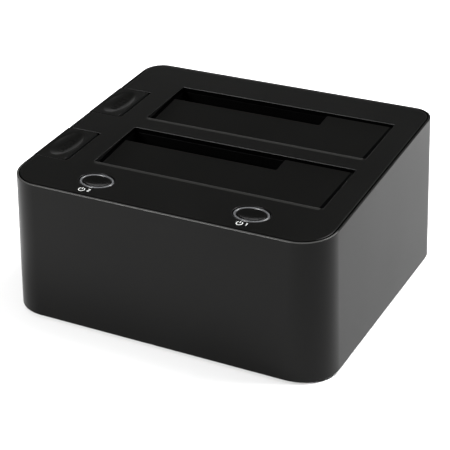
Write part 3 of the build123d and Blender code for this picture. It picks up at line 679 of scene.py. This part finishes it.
def tube(path: np.ndarray, radius: float, sides: int) -> np.ndarray:
    """Points of a round wire along a path.

    At each path point the ring is p + radius (n cos t + b sin t), where n is square to the
    path's direction d and to a fixed axis, and b is d cross n.

    Args:
        path: Points of the centre line.
        radius: Radius of the wire.
        sides: Points round the wire.

    Returns:
        An array of path points by sides by three.
    """
    ahead = headings(path)
    fixed = np.array((0.31, 0.17, 0.94))
    normal = np.cross(ahead, fixed)
    normal /= np.linalg.norm(normal, axis=1, keepdims=True)
    binormal = np.cross(ahead, normal)
    turn = np.linspace(0, 2 * np.pi, sides, endpoint=False)[None, :, None]
    ring = np.cos(turn) * normal[:, None] + np.sin(turn) * binormal[:, None]
    return path[:, None] + radius * ring


def ribbon(path: np.ndarray, width: float, thickness: float) -> np.ndarray:
    """Points of a flat stroke along a path in the XY plane.

    At each path point the four corners are p plus or minus half the width along the path's
    left side, at height nought and at the thickness.

    Args:
        path: Points of the stroke's middle, as (x, y).
        width: Width of the stroke.
        thickness: Thickness of the stroke.

    Returns:
        An array of path points by four by three.
    """
    ahead = headings(path)
    left = np.stack((-ahead[:, 1], ahead[:, 0]), -1) * width / 2
    corners = np.stack((path + left, path - left, path - left, path + left), 1)
    heights = np.broadcast_to(np.array((0.0, 0.0, thickness, thickness)), corners.shape[:2])
    return np.concatenate((corners, heights[..., None]), -1)


def block(low: Point, high: Point) -> np.ndarray:
    """Points of a plain block: the rectangle from low to high in x and y, at both heights.

    Args:
        low: Lowest corner.
        high: Highest corner.

    Returns:
        An array of two rows by four corners by three.
    """
    ends = np.array((low, high))
    corner = np.array(((0, 0), (1, 0), (1, 1), (0, 1)))
    points = np.empty((2, 4, 3))
    points[..., 0] = ends[corner[:, 0], 0]
    points[..., 1] = ends[corner[:, 1], 1]
    points[..., 2] = ends[:, 2][:, None]
    return points


def skin(
    grids: Sequence[np.ndarray], name: str, place: Matrix | None = None, loop_rows: bool = False
) -> bpy.types.Mesh:
    """Join grids of points into one closed mesh.

    Args:
        grids: Rows of points of each part of the skin, where every row is a closed ring.
        name: Name of the mesh.
        place: Matrix that takes the points to the dock's frame.
        loop_rows: Whether the last row of a grid joins its first.

    Returns:
        The mesh, with doubled points merged, open ends capped and faces outwards.
    """
    made = bmesh.new()
    for grid in grids:
        part = bpy.data.meshes.new(name)
        faces = grid_faces(*grid.shape[:2], loop_rows)
        part.from_pydata(grid.reshape(-1, 3).tolist(), [], faces.tolist())
        made.from_mesh(part)
        bpy.data.meshes.remove(part)
    bmesh.ops.remove_doubles(made, verts=made.verts, dist=DOUBLED)
    bmesh.ops.holes_fill(made, edges=[line for line in made.edges if line.is_boundary], sides=0)
    bmesh.ops.recalc_face_normals(made, faces=made.faces)
    mesh = bpy.data.meshes.new(name)
    made.to_mesh(mesh)
    made.free()
    if place is not None:
        mesh.transform(place)
    return mesh


def round_edges(
    piece: bpy.types.Object, edge: float, segments: int = 3, clamp: bool = True
) -> None:
    """Round a piece's sharp edges with a live bevel, by weight where its edges have one.

    Args:
        piece: The piece.
        edge: Width of the rounding.
        segments: Faces across the rounding.
        clamp: Whether short edges hold the rounding back.
    """
    rounding = piece.modifiers.new("rounding", "BEVEL")
    weighted = "bevel_weight_edge" in piece.data.attributes
    rounding.limit_method = "WEIGHT" if weighted else "ANGLE"
    rounding.angle_limit = ROUNDED_ANGLE
    rounding.width = edge
    rounding.segments = segments
    rounding.use_clamp_overlap = clamp
    flats = piece.modifiers.new("flats", "WEIGHTED_NORMAL")
    flats.keep_sharp = True


def cut(piece: bpy.types.Object, boxes: Sequence[tuple[Point, Point]]) -> None:
    """Take boxes out of a piece for good.

    Args:
        piece: The piece, with a closed mesh.
        boxes: Lowest and highest corner of each box.
    """
    mesh = skin([block(low, high) for low, high in boxes], "cutter")
    cutter = bpy.data.objects.new("cutter", mesh)
    bpy.context.scene.collection.objects.link(cutter)
    change = piece.modifiers.new("cut", "BOOLEAN")
    change.operation = "DIFFERENCE"
    change.object = cutter
    shaped = piece.evaluated_get(bpy.context.evaluated_depsgraph_get())
    whole = piece.data
    piece.data = bpy.data.meshes.new_from_object(shaped)
    piece.modifiers.clear()
    bpy.data.objects.remove(cutter)
    bpy.data.meshes.remove(mesh)
    bpy.data.meshes.remove(whole)
    piece.data.set_sharp_from_angle(angle=CREASE_ANGLE)


def top_height(y: float | np.ndarray) -> float | np.ndarray:
    """Height of the sloping top at depth y: TOP_HEIGHT + STEEPNESS y."""
    return TOP_HEIGHT + STEEPNESS * y


def slope_at(place: Place) -> Matrix:
    """The frame of the sloping top at a place: X right, Y up the slope and Z square to it."""
    origin = Matrix.Translation((place[0], place[1], top_height(place[1])))
    return origin @ Matrix.Rotation(TOP_SLOPE, 4, "X")


@dataclass
class Builder:
    """Dresses the new pieces, hangs them on the frame's bodies and stands them in for nodes."""

    wardrobe: Wardrobe
    bodies: Mapping[str, str]
    slots: Mapping[str, str]

    def add(
        self, name: str, mesh: bpy.types.Mesh, node: str, finish: str | None = None
    ) -> bpy.types.Object:
        """Smooth a mesh, dress it and let it ride with a node's body.

        Args:
            name: Name of the piece.
            mesh: Its mesh, in the dock's frame.
            node: The CAD node whose body and material slot it takes.
            finish: Name of the finish, where it isn't the slot's own.

        Returns:
            The finished piece.
        """
        mesh.polygons.foreach_set("use_smooth", np.ones(len(mesh.polygons), bool))
        mesh.set_sharp_from_angle(angle=CREASE_ANGLE)
        piece = bpy.data.objects.new(name, mesh)
        bpy.context.scene.collection.objects.link(piece)
        self.wardrobe.dress(piece, finish or self.slots[node])
        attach(piece, self.bodies[node])
        log.info("built %s with %d faces", name, len(mesh.polygons))
        return piece

    def replace(
        self, name: str, mesh: bpy.types.Mesh, node: str, finish: str | None = None
    ) -> bpy.types.Object:
        """Add a piece that stands in for a CAD node.

        Args:
            name: Name of the piece.
            mesh: Its mesh, in the dock's frame.
            node: The CAD node.
            finish: Name of the finish, where it isn't the slot's own.

        Returns:
            The finished piece.
        """
        piece = self.add(name, mesh, node, finish)
        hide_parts(node)
        return piece

    def soften(
        self,
        node: str,
        edge: float,
        segments: int = 3,
        clamp: bool = True,
        finish: str | None = None,
        sharp_to: float | None = None,
    ) -> bpy.types.Object:
        """Stand a copy of a CAD node in its place, with its sharp edges rounded.

        Args:
            node: The CAD node.
            edge: Width of the rounding.
            segments: Faces across the rounding.
            clamp: Whether short edges hold the rounding back.
            finish: Name of the finish, where it isn't the slot's own.
            sharp_to: Depth Y in front of which all edges stay sharp, if any do.

        Returns:
            The piece, with its rounding still live.
        """
        made = bmesh.new()
        made.from_mesh(frame["nodes"][node].data)
        bmesh.ops.remove_doubles(made, verts=made.verts, dist=SLIVER)
        bmesh.ops.dissolve_limit(
            made, angle_limit=FLAT_ANGLE, verts=made.verts, edges=made.edges
        )
        if sharp_to is not None:
            weight = made.edges.layers.float.new("bevel_weight_edge")
            for line in made.edges:
                bent = line.calc_face_angle(0.0) > ROUNDED_ANGLE
                behind = max(corner.co.y for corner in line.verts) > sharp_to
                line[weight] = float(bent and behind)
        name = node + "_soft"
        mesh = bpy.data.meshes.new(name)
        made.to_mesh(mesh)
        made.free()
        piece = self.replace(name, mesh, node, finish)
        round_edges(piece, edge, segments, clamp)
        return piece


@dataclass
class Outline:
    """The dock's drafted plan: a rectangle with rounded corners that shrinks upwards.

    Every point of it is c + (r - inset) u, where c is a corner's centre, or a point between
    two of them on a straight side, r is that corner's radius and u points outwards.
    """

    half_x: float = 73.1 * MM
    half_y: float = 64.65 * MM
    front_corner: float = 16.6 * MM
    rear_corner: float = 11.5 * MM
    base: float = 1.0 * MM
    draft: float = math.tan(math.radians(1.95))
    arc_steps: int = 24
    side_steps: int = 12
    centres: np.ndarray = field(init=False)
    radii: np.ndarray = field(init=False)
    outwards: np.ndarray = field(init=False)

    def __post_init__(self) -> None:
        """Work out the centres, radii and directions round the plan, from the front right."""
        centres, radii, turns = [], [], []
        for sx, sy, start in ((1, -1, -90), (1, 1, 0), (-1, 1, 90), (-1, -1, 180)):
            r = self.front_corner if sy < 0 else self.rear_corner
            centres.append((sx * (self.half_x - r), sy * (self.half_y - r)))
            radii.append(r)
            turns.append(np.radians(np.linspace(start, start + 90, self.arc_steps)))
        share = np.linspace(0, 1, self.side_steps + 2)[1:-1, None]
        parts = []
        for k, turn in enumerate(turns):
            ahead = (k + 1) % len(turns)
            bend = np.empty((self.arc_steps, 4))
            bend[:, 0:2] = centres[k]
            bend[:, 2] = radii[k]
            bend[:, 3] = turn
            here = np.array((*centres[k], radii[k], turn[-1]))
            there = np.array((*centres[ahead], radii[ahead], turn[-1]))
            parts += [bend, here + (there - here) * share]
        path = np.concatenate(parts)
        self.centres = path[:, 0:2]
        self.radii = path[:, 2]
        self.outwards = np.stack((np.cos(path[:, 3]), np.sin(path[:, 3])), -1)

    def carry(self, inwards: np.ndarray, levels: np.ndarray, from_top: np.ndarray) -> np.ndarray:
        """Carry a profile round the plan.

        A profile point lies inwards of the drafted wall. Its height is its level over the
        table, or over the sloping top where from_top is set; since the slope and the draft
        depend on each other, the place is worked out three times over.

        Args:
            inwards: How far each profile point lies inside the wall.
            levels: Height of each profile point.
            from_top: Whether the height counts from the top.

        Returns:
            An array of profile points by path points by three.
        """
        z = np.broadcast_to(levels[:, None], (len(levels), len(self.radii)))
        for _ in range(3):
            inset = (z - self.base) * self.draft + inwards[:, None]
            plan = self.centres + (self.radii - inset)[..., None] * self.outwards
            z = levels[:, None] + np.where(from_top[:, None], top_height(plan[..., 1]), 0.0)
        return np.concatenate((plan, z[..., None]), -1)


@dataclass
class Shell:
    """The housing, its sloping top, the bottom cover, the feet and the screws."""

    builder: Builder
    edge: float = 0.22 * MM
    wall: float = 2.4 * MM
    rim_width: float = 0.9 * MM
    ledge_depth: float = 2.4 * MM
    base_round: float = 0.4 * MM
    cut_edge: float = 0.25 * MM
    panel_edge: float = 0.3 * MM
    sharp_to: float = -57 * MM
    notch_depth: float = 15.85 * MM
    key_gap: float = 0.35 * MM
    port_gap: float = 0.3 * MM
    port_depth: float = 7.2 * MM
    foot_radius: float = 6.0 * MM
    foot_height: float = 1.8 * MM
    foot_round: float = 0.55 * MM
    foot_hollow: float = 0.25 * MM
    head_radius: float = 2.8 * MM
    head_angle: float = math.radians(41)
    shank_radius: float = 1.5 * MM
    recess_radius: float = 1.25 * MM
    recess_taper: float = 0.9
    recess_depth: float = 1.1 * MM
    lobes: int = 6
    lobe_height: float = 0.16
    thread_pitch: float = 0.9 * MM
    thread_depth: float = 0.18 * MM
    rows_per_turn: int = 8

    def build(self) -> None:
        """Build every piece of the shell."""
        self.build_housing()
        self.builder.soften("top_panel", self.panel_edge, clamp=False, sharp_to=self.sharp_to)
        self.builder.soften("base_plate", self.edge)
        for side in ("front_left", "front_right", "rear_left", "rear_right"):
            self.build_foot("foot_" + side)
        self.build_screws()

    def build_housing(self) -> None:
        """The housing: a closed profile carried round the plan, then cut for keys and plugs.

        The profile runs up the outer wall, over the rim's half circle, down to the ledge
        that carries the top, and down the inner wall to the rounded lower edge.
        """
        outline = Outline()
        bead = self.rim_width / 2
        low_out, low_up = arc(self.base_round, 180, 270, steps=5)
        over, up = arc(bead, 180, 0, steps=13)
        wall_rise = np.linspace(0.15, 0.85, 4) * TOP_HEIGHT
        inwards = np.concatenate(
            (
                (self.base_round + low_out)[::-1],
                np.zeros(len(wall_rise)),
                bead + over,
                (self.rim_width, self.wall, self.wall),
            )
        )
        levels = np.concatenate(
            (
                (outline.base + self.base_round + low_up)[::-1],
                wall_rise,
                up - bead,
                (-self.ledge_depth, -self.ledge_depth, outline.base),
            )
        )
        from_top = np.zeros(len(levels), bool)
        from_top[len(low_up) + len(wall_rise) : -1] = True
        rows = outline.carry(inwards, levels, from_top)
        name = "housing_shell"
        shell = self.builder.replace(name, skin([rows], name, loop_rows=True), "housing")
        cut(shell, self.openings())
        round_edges(shell, self.cut_edge)

    def openings(self) -> list[tuple[Point, Point]]:
        """Boxes that the keys and the rear sockets need open, from the pieces in the frame.

        Returns:
            Lowest and highest corner of each box.
        """
        far = 2 * TOP_HEIGHT
        boxes = []
        gap = self.key_gap
        for bay in Bay:
            low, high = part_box("eject_key_" + bay.value)
            bottom = top_height((low.y + high.y) / 2) - self.notch_depth
            boxes.append(((-far, low.y - gap, bottom), (high.x, high.y + gap, far)))
        gap = self.port_gap
        for node in ("usb_shell", "power_jack"):
            low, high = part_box(node)
            inner = (low.x - gap, high.y - self.port_depth, low.z - gap)
            boxes.append((inner, (high.x + gap, far, high.z + gap)))
        return boxes

    def build_foot(self, node: str) -> None:
        """A rubber foot: a disc with a rounded rim and a shallow hollow under it.

        The half width r and height z of its rows run over the hollow
        z = hollow (1 - (r / r0)^2), round the rim's quarter circle, up the side and to the axis.

        Args:
            node: The CAD node of the foot.
        """
        low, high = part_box(node)
        middle = (low + high) / 2
        flat = self.foot_radius - self.foot_round
        inner = np.linspace(0, flat - self.foot_round, 8)
        dome = self.foot_hollow * (1 - (inner / inner[-1]) ** 2)
        out, up = arc(self.foot_round, -90, 0, steps=6)
        radii = np.concatenate((inner, flat + out, (self.foot_radius, 0)))
        heights = np.concatenate((dome, self.foot_round + up, (self.foot_height, self.foot_height)))
        points = stacked_ovals(radii, radii, heights, ROUND_SIDES)
        place = Matrix.Translation((middle.x, middle.y, 0))
        name = node + "_rubber"
        self.builder.replace(name, skin([points], name, place), node)

    def build_screws(self) -> None:
        """Four countersunk screws with a six-lobed recess and a rolled thread.

        Rows run from the recess's floor over the head and up the shank. The recess is
        r (1 + lobe cos 6t), and the thread adds depth |2 frac(z / pitch - t / 2 pi) - 1|.
        """
        node, name = "housing_screws", "housing_screws_lobed"
        low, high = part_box(node)
        cone = (self.head_radius - self.shank_radius) / math.tan(self.head_angle)
        length = high.z - low.z
        rise = np.linspace(
            cone, length, round(self.rows_per_turn * (length - cone) / self.thread_pitch)
        )
        recess = (0, self.recess_radius * self.recess_taper, self.recess_radius)
        neck = (self.head_radius, self.shank_radius)
        core = np.full(len(rise), self.shank_radius - self.thread_depth)
        radii = np.concatenate((recess, neck, core, (0,)))
        heights = np.concatenate(
            ((self.recess_depth, self.recess_depth, 0), (0, cone), rise, (length,))
        )
        turn = np.linspace(0, 2 * np.pi, SMALL_SIDES, endpoint=False)[None, :]
        wave = (rise[:, None] / self.thread_pitch - turn / (2 * np.pi)) % 1
        thread = len(recess) + len(neck)
        swell = np.ones((len(radii), SMALL_SIDES))
        swell[1 : len(recess)] += self.lobe_height * np.cos(self.lobes * turn)
        swell[thread:-1] += self.thread_depth / self.shank_radius * np.abs(2 * wave - 1)
        points = stacked_ovals(radii, radii, heights, SMALL_SIDES, swell)
        inset = self.head_radius
        screws = [
            points + np.array((x, y, low.z))
            for x in (low.x + inset, high.x - inset)
            for y in (low.y + inset, high.y - inset)
        ]
        self.builder.replace(name, skin(screws, name), node)


@dataclass
class PowerSwitch:
    """An oval key in its light ring, with the printed marks in front of it."""

    builder: Builder
    digit: Digit
    symbol_place: Place
    digit_place: Place
    ring_across: float = 7.45 * MM
    ring_along: float = 5.55 * MM
    ring_wall: float = 0.95 * MM
    ring_depth: float = 6.6 * MM
    ring_sink: float = 0.1 * MM
    flange: float = 1.3 * MM
    panel: float = 2.4 * MM
    flange_thickness: float = 0.9 * MM
    cap_gap: float = 0.18 * MM
    cap_sink: float = 0.15 * MM
    cap_height: float = 2.4 * MM
    cap_dish: float = 0.6 * MM
    cap_edge: float = 0.35 * MM
    stem_radius: float = 1.6 * MM
    stem_depth: float = 3.6 * MM
    symbol_radius: float = 1.25 * MM
    stroke: float = 0.30 * MM
    ink: float = 0.03 * MM
    digit_height: float = 1.7 * MM

    def build(self) -> None:
        """Build the ring, the key and the marks."""
        self.build_ring()
        self.build_cap()
        self.build_marks()

    def axis(self) -> Matrix:
        """The frame of the top where the switch's axis meets it.

        Returns:
            The matrix that takes the ring's and the key's points to the dock's frame.
        """
        low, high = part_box("light_ring_" + self.digit.value)
        centre = (low + high) / 2
        return slope_at((centre.x, centre.y - math.sin(TOP_SLOPE) * self.ring_depth / 2))

    def build_ring(self) -> None:
        """The light ring: one closed profile carried round the oval.

        Each row is the outer oval drawn in by an offset, so the profile is a list of offsets
        and heights: over the half-round crown, down the inside, and back over the flange.
        """
        half = self.ring_wall / 2
        out, up = arc(half, 180, 0, steps=12)
        offsets = np.concatenate(
            (half + out, (self.ring_wall, 0, 0, -self.flange, -self.flange, 0))
        )
        under = self.panel + self.flange_thickness
        heights = np.concatenate(
            (
                up - self.ring_sink - half,
                (-self.ring_depth, -self.ring_depth, -under, -under, -self.panel, -self.panel),
            )
        )
        across, along = self.ring_across - offsets, self.ring_along - offsets
        rows = stacked_ovals(across, along, heights, ROUND_SIDES)
        node = "light_ring_" + self.digit.value
        name = node + "_smoked"
        self.builder.replace(name, skin([rows], name, self.axis(), loop_rows=True), node)

    def build_cap(self) -> None:
        """The key: a dished oval cap with a rounded edge, and its stem.

        Over the dish the rows are s times the oval at height -dish (1 - s^2), for s up to the
        edge's quarter circle. Then they run down the side and under the cap to the stem.
        """
        margin = self.ring_wall + self.cap_gap
        out, up = arc(self.cap_edge, 90, 0, steps=6)
        share = np.linspace(0, 1, 14)
        foot = self.stem_radius
        across, along = (
            np.concatenate(
                (share * (half - self.cap_edge), half - self.cap_edge + out, (half, foot, foot, 0))
            )
            for half in (self.ring_across - margin, self.ring_along - margin)
        )
        top = -self.cap_sink
        heights = np.concatenate(
            (
                top - self.cap_dish * (1 - share**2),
                top - self.cap_edge + up,
                (top - self.cap_height, top - self.cap_height, -self.stem_depth, -self.stem_depth),
            )
        )
        rows = stacked_ovals(across, along, heights, ROUND_SIDES)
        node = "power_key_" + self.digit.value
        name = node + "_cap"
        self.builder.replace(name, skin([rows], name, self.axis()), node)

    def digit_strokes(self) -> list[np.ndarray]:
        """Middle lines of the digit, one unit high and centred on its own middle.

        Returns:
            The points (x, y) of each stroke.
        """
        if self.digit is Digit.ONE:
            return [np.array(((-0.22, 0.26), (0.0, 0.5), (0.0, 0.0), (0.0, -0.5)))]
        across, up = arc(0.27, 165, -38, steps=14)
        bowl = np.stack((across, 0.23 + up), -1)
        tail = np.array(((-0.06, -0.24), (-0.30, -0.5)))
        foot = np.array(((-0.34, -0.5), (0.0, -0.5), (0.34, -0.5)))
        return [np.concatenate((bowl, tail)), foot]

    def symbol_strokes(self) -> list[np.ndarray]:
        """Middle lines of the standby symbol, an open ring and a bar, one unit in radius."""
        ring = np.stack(arc(1.0, 125, 415, steps=40), -1)
        return [ring, np.array(((0.0, 0.15), (0.0, 0.6), (0.0, 1.15)))]

    def build_marks(self) -> None:
        """The printed symbol and digit, as thin strokes that lie on the top."""
        for label, strokes, size, place in (
            ("symbol", self.symbol_strokes(), self.symbol_radius, self.symbol_place),
            ("digit", self.digit_strokes(), self.digit_height, self.digit_place),
        ):
            name = f"print_{label}_{self.digit.value}"
            lines = [ribbon(middle * size, self.stroke, self.ink) for middle in strokes]
            self.builder.add(name, skin(lines, name, slope_at(place)), "top_panel", "printed_ink")


@dataclass
class DriveBay:
    """One bay: its well, flap, eject key, rocker, eject spring and drive socket."""

    builder: Builder
    bay: Bay
    edge: float = 0.2 * MM
    socket_edge: float = 0.1 * MM
    key_edge: float = 0.12 * MM
    inset: float = 0.8 * MM
    narrow_width: float = 2.2 * MM
    wire: float = 0.3 * MM
    wire_sides: int = 10
    coil_radius: float = 2.55 * MM
    coil_turns: float = 4.5
    coil_steps: int = 40
    closed_turns: float = 0.75
    first_lift: float = 0.1
    pressed_share: float = 0.22

    def build(self) -> None:
        """Build every piece of the bay."""
        bay = self.bay.value
        self.builder.soften("drive_well_" + bay, self.edge)
        self.builder.soften("flap_" + bay, self.edge)
        self.narrow(self.builder.soften("eject_key_" + bay, self.key_edge))
        self.builder.soften("eject_rocker_" + bay, self.edge)
        self.builder.soften("drive_socket_" + bay, self.socket_edge, 2)
        self.build_eject_spring(bay)

    def narrow(self, key: bpy.types.Object) -> None:
        """Draw a key's right edge in, so that the dark gap beside it shows.

        Right of the line x0, each point goes to x0 + (x - x0) (1 - inset / (x1 - x0)), where
        x1 is the key's right side.

        Args:
            key: The key's piece.
        """
        points = np.empty(len(key.data.vertices) * 3)
        key.data.vertices.foreach_get("co", points)
        x = points[0::3]
        start = x.max() - self.narrow_width
        kept = 1 - self.inset / self.narrow_width
        points[0::3] = np.where(x > start, start + (x - start) * kept, x)
        key.data.vertices.foreach_set("co", points)
        key.data.update()

    def build_eject_spring(self, bay: str) -> None:
        """The spring under the rocker: round wire in a coil whose end turns lie flat.

        The centre line is (r cos a, r sin a, h f(s)), where f stays level over the closed
        turns at both ends and rises evenly between them. The first turn rises by its own
        wire, so that the next lies on it.

        Args:
            bay: The word that ends the bay's node names.
        """
        node = "eject_spring_" + bay
        low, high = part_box(node)
        middle = (low + high) / 2
        s = np.linspace(0, 1, round(self.coil_turns * self.coil_steps))
        closed = self.closed_turns / self.coil_turns
        rise = np.clip((s - closed) / (1 - 2 * closed), 0, 1)
        height = high.z - low.z - 2 * self.wire
        angle = 2 * np.pi * self.coil_turns * s
        climb = (1 - self.first_lift) * (s / closed).clip(0, 1)
        path = np.stack(
            (
                middle.x + self.coil_radius * np.cos(angle),
                middle.y + self.coil_radius * np.sin(angle),
                low.z + self.wire * (self.first_lift + climb) + height * rise,
            ),
            -1,
        )
        name = node + "_wire"
        mesh = skin([tube(path, self.wire, self.wire_sides)], name)
        spring = self.builder.replace(name, mesh, node)
        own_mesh(spring)


@dataclass
class Boards:
    """The parts on the two circuit boards that have a shape of their own."""

    builder: Builder
    edge: float = 0.15 * MM
    can_radius: float = 3.15 * MM
    can_height: float = 7.7 * MM
    can_shoulder: float = 0.5 * MM
    can_count: int = 3
    neck_height: float = 1.3 * MM
    neck_depth: float = 0.25 * MM
    neck_reach: float = 0.3
    foot_share: float = 0.5

    def build(self) -> None:
        """Build the cans and soften the moulded parts."""
        for node in ("power_coils", "bridge_chips", "board_headers", "ribbon_cable"):
            self.builder.soften(node, self.edge, 2)
        self.build_cans()

    def build_cans(self) -> None:
        """Three drawn cans with a crimped neck and a rounded shoulder.

        Rows follow the can's outline from its foot: up past the neck's waist, round the
        shoulder's quarter circle and in over the top.
        """
        node, name = "capacitors", "capacitor_cans"
        low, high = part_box(node)
        r, top, shoulder = self.can_radius, self.can_height, self.can_shoulder
        out, up = arc(shoulder, 0, 90, steps=6)
        waist = np.radians(np.linspace(0, 180, 9))
        radii = np.concatenate(
            ((0, r, r), r - self.neck_depth * np.sin(waist), r - shoulder + out, (0.0,))
        )
        heights = np.concatenate(
            (
                (0, 0, self.neck_height * self.foot_share),
                self.neck_height * (1 - self.neck_reach * np.cos(waist)),
                top - shoulder + up,
                (top,),
            )
        )
        points = stacked_ovals(radii, radii, heights, SMALL_SIDES)
        y = (low.y + high.y) / 2
        xs = np.linspace(low.x + r, high.x - r, self.can_count)
        cans = [points + np.array((x, y, low.z)) for x in xs]
        self.builder.replace(name, skin(cans, name), node)


@dataclass
class RearSockets:
    """The data and power sockets at the rear."""

    builder: Builder
    edge: float = 0.12 * MM

    def build(self) -> None:
        """Soften the data socket's blue insert and its shell, and the power socket."""
        self.builder.soften("usb_insert", self.edge, 2, finish="port_blue")
        for node in ("usb_shell", "power_jack", "jack_pin"):
            self.builder.soften(node, self.edge, 2)


def dress_frame(wardrobe: Wardrobe, slots: Mapping[str, str]) -> None:
    """Give every node of the frame the finish that its slot in the record names.

    Args:
        wardrobe: The materials.
        slots: The material slot of each node.
    """
    for name, slot in slots.items():
        wardrobe.dress(frame["nodes"][name], slot)
        log.info("dressed %s in %s", name, slot)


@dataclass(frozen=True)
class SoftBox:
    """A rectangular area light that points at one place."""

    name: str
    place: Point
    target: Point
    width: float
    height: float
    power: float

    def build(self) -> None:
        """Add the light to the scene."""
        data = bpy.data.lights.new(self.name, "AREA")
        data.shape = "RECTANGLE"
        data.size = self.width
        data.size_y = self.height
        data.energy = self.power
        lamp = bpy.data.objects.new(self.name, data)
        lamp.visible_camera = False
        lamp.location = self.place
        aim = Vector(self.target) - Vector(self.place)
        lamp.rotation_euler = aim.to_track_quat("-Z", "Y").to_euler()
        bpy.context.scene.collection.objects.link(lamp)


CENTRE: Point = (0.0, 0.0, 0.03)
LIGHTS = (
    SoftBox("overhead", (0.0, -0.1, 1.5), CENTRE, 1.1, 1.1, 9.0),
    SoftBox("front_left", (-0.62, -1.19, 0.68), CENTRE, 0.4, 0.36, 36.0),
    SoftBox("rear_right", (0.62, 0.55, 1.1), (0.2, 0.25, 0.0), 0.7, 0.6, 42.0),
    SoftBox("rear_left", (-0.62, 1.37, 0.28), CENTRE, 1.6, 0.3, 1.8),
)


@dataclass
class Studio:
    """The pale floor, the soft lights and the camera at the photograph's angle."""

    azimuth: float = 27.149
    elevation: float = 27.458
    roll: float = -0.805
    distance: float = 0.576671
    target: Point = (0.004755, -0.012166, 0.03299)
    lens: float = 108.81
    sensor: float = 36.0
    floor_half: float = 4.0
    floor_colour: Colour = (0.84, 0.84, 0.84)
    floor_pale: Colour = (0.87, 0.87, 0.87)
    floor_mottle: float = 0.4
    floor_roughness: float = 0.8
    sky: float = 0.05
    backdrop: float = 1.0

    def build(self) -> None:
        """Build the floor, the lights, the sky and the camera.

        One soft box hangs overhead, one lights the front, one grazes the right side from
        behind, and a faint one lights the rear.
        """
        self.build_floor()
        for light in LIGHTS:
            light.build()
        self.build_sky()
        self.build_camera()
        bpy.context.scene.view_settings.view_transform = "Standard"

    def build_floor(self) -> None:
        """A flat square of pale board under the feet."""
        half = self.floor_half
        mesh = bpy.data.meshes.new("floor")
        corners = [(-half, -half, 0), (half, -half, 0), (half, half, 0), (-half, half, 0)]
        mesh.from_pydata(corners, [], [(0, 1, 2, 3)])
        shader = Shader("floor_board")
        mottle = shader.noise(self.floor_mottle)
        colour = shader.mix(mottle, self.floor_colour, self.floor_pale)
        board = shader.surface({"Base Color": colour, "Roughness": self.floor_roughness})
        mesh.materials.append(board)
        floor = bpy.data.objects.new("floor", mesh)
        bpy.context.scene.collection.objects.link(floor)

    def build_sky(self) -> None:
        """A dim sky round a backdrop that looks white beyond the floor's edge."""
        world = bpy.data.worlds.new("studio_sky")
        world.use_nodes = True
        sky = Tree(world.node_tree)
        seen = sky.node("ShaderNodeLightPath").outputs["Is Camera Ray"]
        strength = sky.node(
            "ShaderNodeMapRange",
            values={"Value": seen, "To Min": self.sky, "To Max": self.backdrop},
        )
        glow = sky.node(
            "ShaderNodeBackground",
            values={"Color": (1.0, 1.0, 1.0), "Strength": strength.outputs[0]},
        )
        sky.node("ShaderNodeOutputWorld", values={"Surface": glow.outputs[0]})
        bpy.context.scene.world = world

    def build_camera(self) -> None:
        """Place the camera by its angles round the target, with a slight roll."""
        turn, lift, roll = (math.radians(a) for a in (self.azimuth, self.elevation, self.roll))
        back = Vector(
            (math.sin(turn) * math.cos(lift), -math.cos(turn) * math.cos(lift), math.sin(lift))
        )
        level = Vector((math.cos(turn), math.sin(turn), 0))
        upright = back.cross(level)
        right = level * math.cos(roll) + upright * math.sin(roll)
        up = upright * math.cos(roll) - level * math.sin(roll)
        data = bpy.data.cameras.new("camera")
        data.lens = self.lens
        data.sensor_width = self.sensor
        camera = bpy.data.objects.new("camera", data)
        axes = Matrix((right, up, back)).transposed().to_4x4()
        stand = Matrix.Translation(Vector(self.target) + back * self.distance)
        camera.matrix_world = stand @ axes
        bpy.context.scene.collection.objects.link(camera)
        bpy.context.scene.camera = camera


def main() -> None:
    """Dress the frame, build the pieces and set up the studio."""
    logging.basicConfig(level=logging.INFO, format="%(name)s: %(message)s")
    record = frame["record"]
    slots = {entry["node"]: entry["material_slot"] for entry in record["subparts"]}
    bodies = {node: body for body, nodes in record["behaviour"]["bodies"].items() for node in nodes}
    wardrobe = Wardrobe(FINISHES)
    dress_frame(wardrobe, slots)
    builder = Builder(wardrobe, bodies, slots)
    Shell(builder).build()
    PowerSwitch(builder, Digit.ONE, (34.1 * MM, -57.4 * MM), (37.1 * MM, -57.2 * MM)).build()
    PowerSwitch(builder, Digit.TWO, (-36.0 * MM, -57.9 * MM), (-32.9 * MM, -57.6 * MM)).build()
    for bay in Bay:
        DriveBay(builder, bay).build()
    Boards(builder).build()
    RearSockets(builder).build()
    Studio().build()


if __name__ == "__main__":
    main()
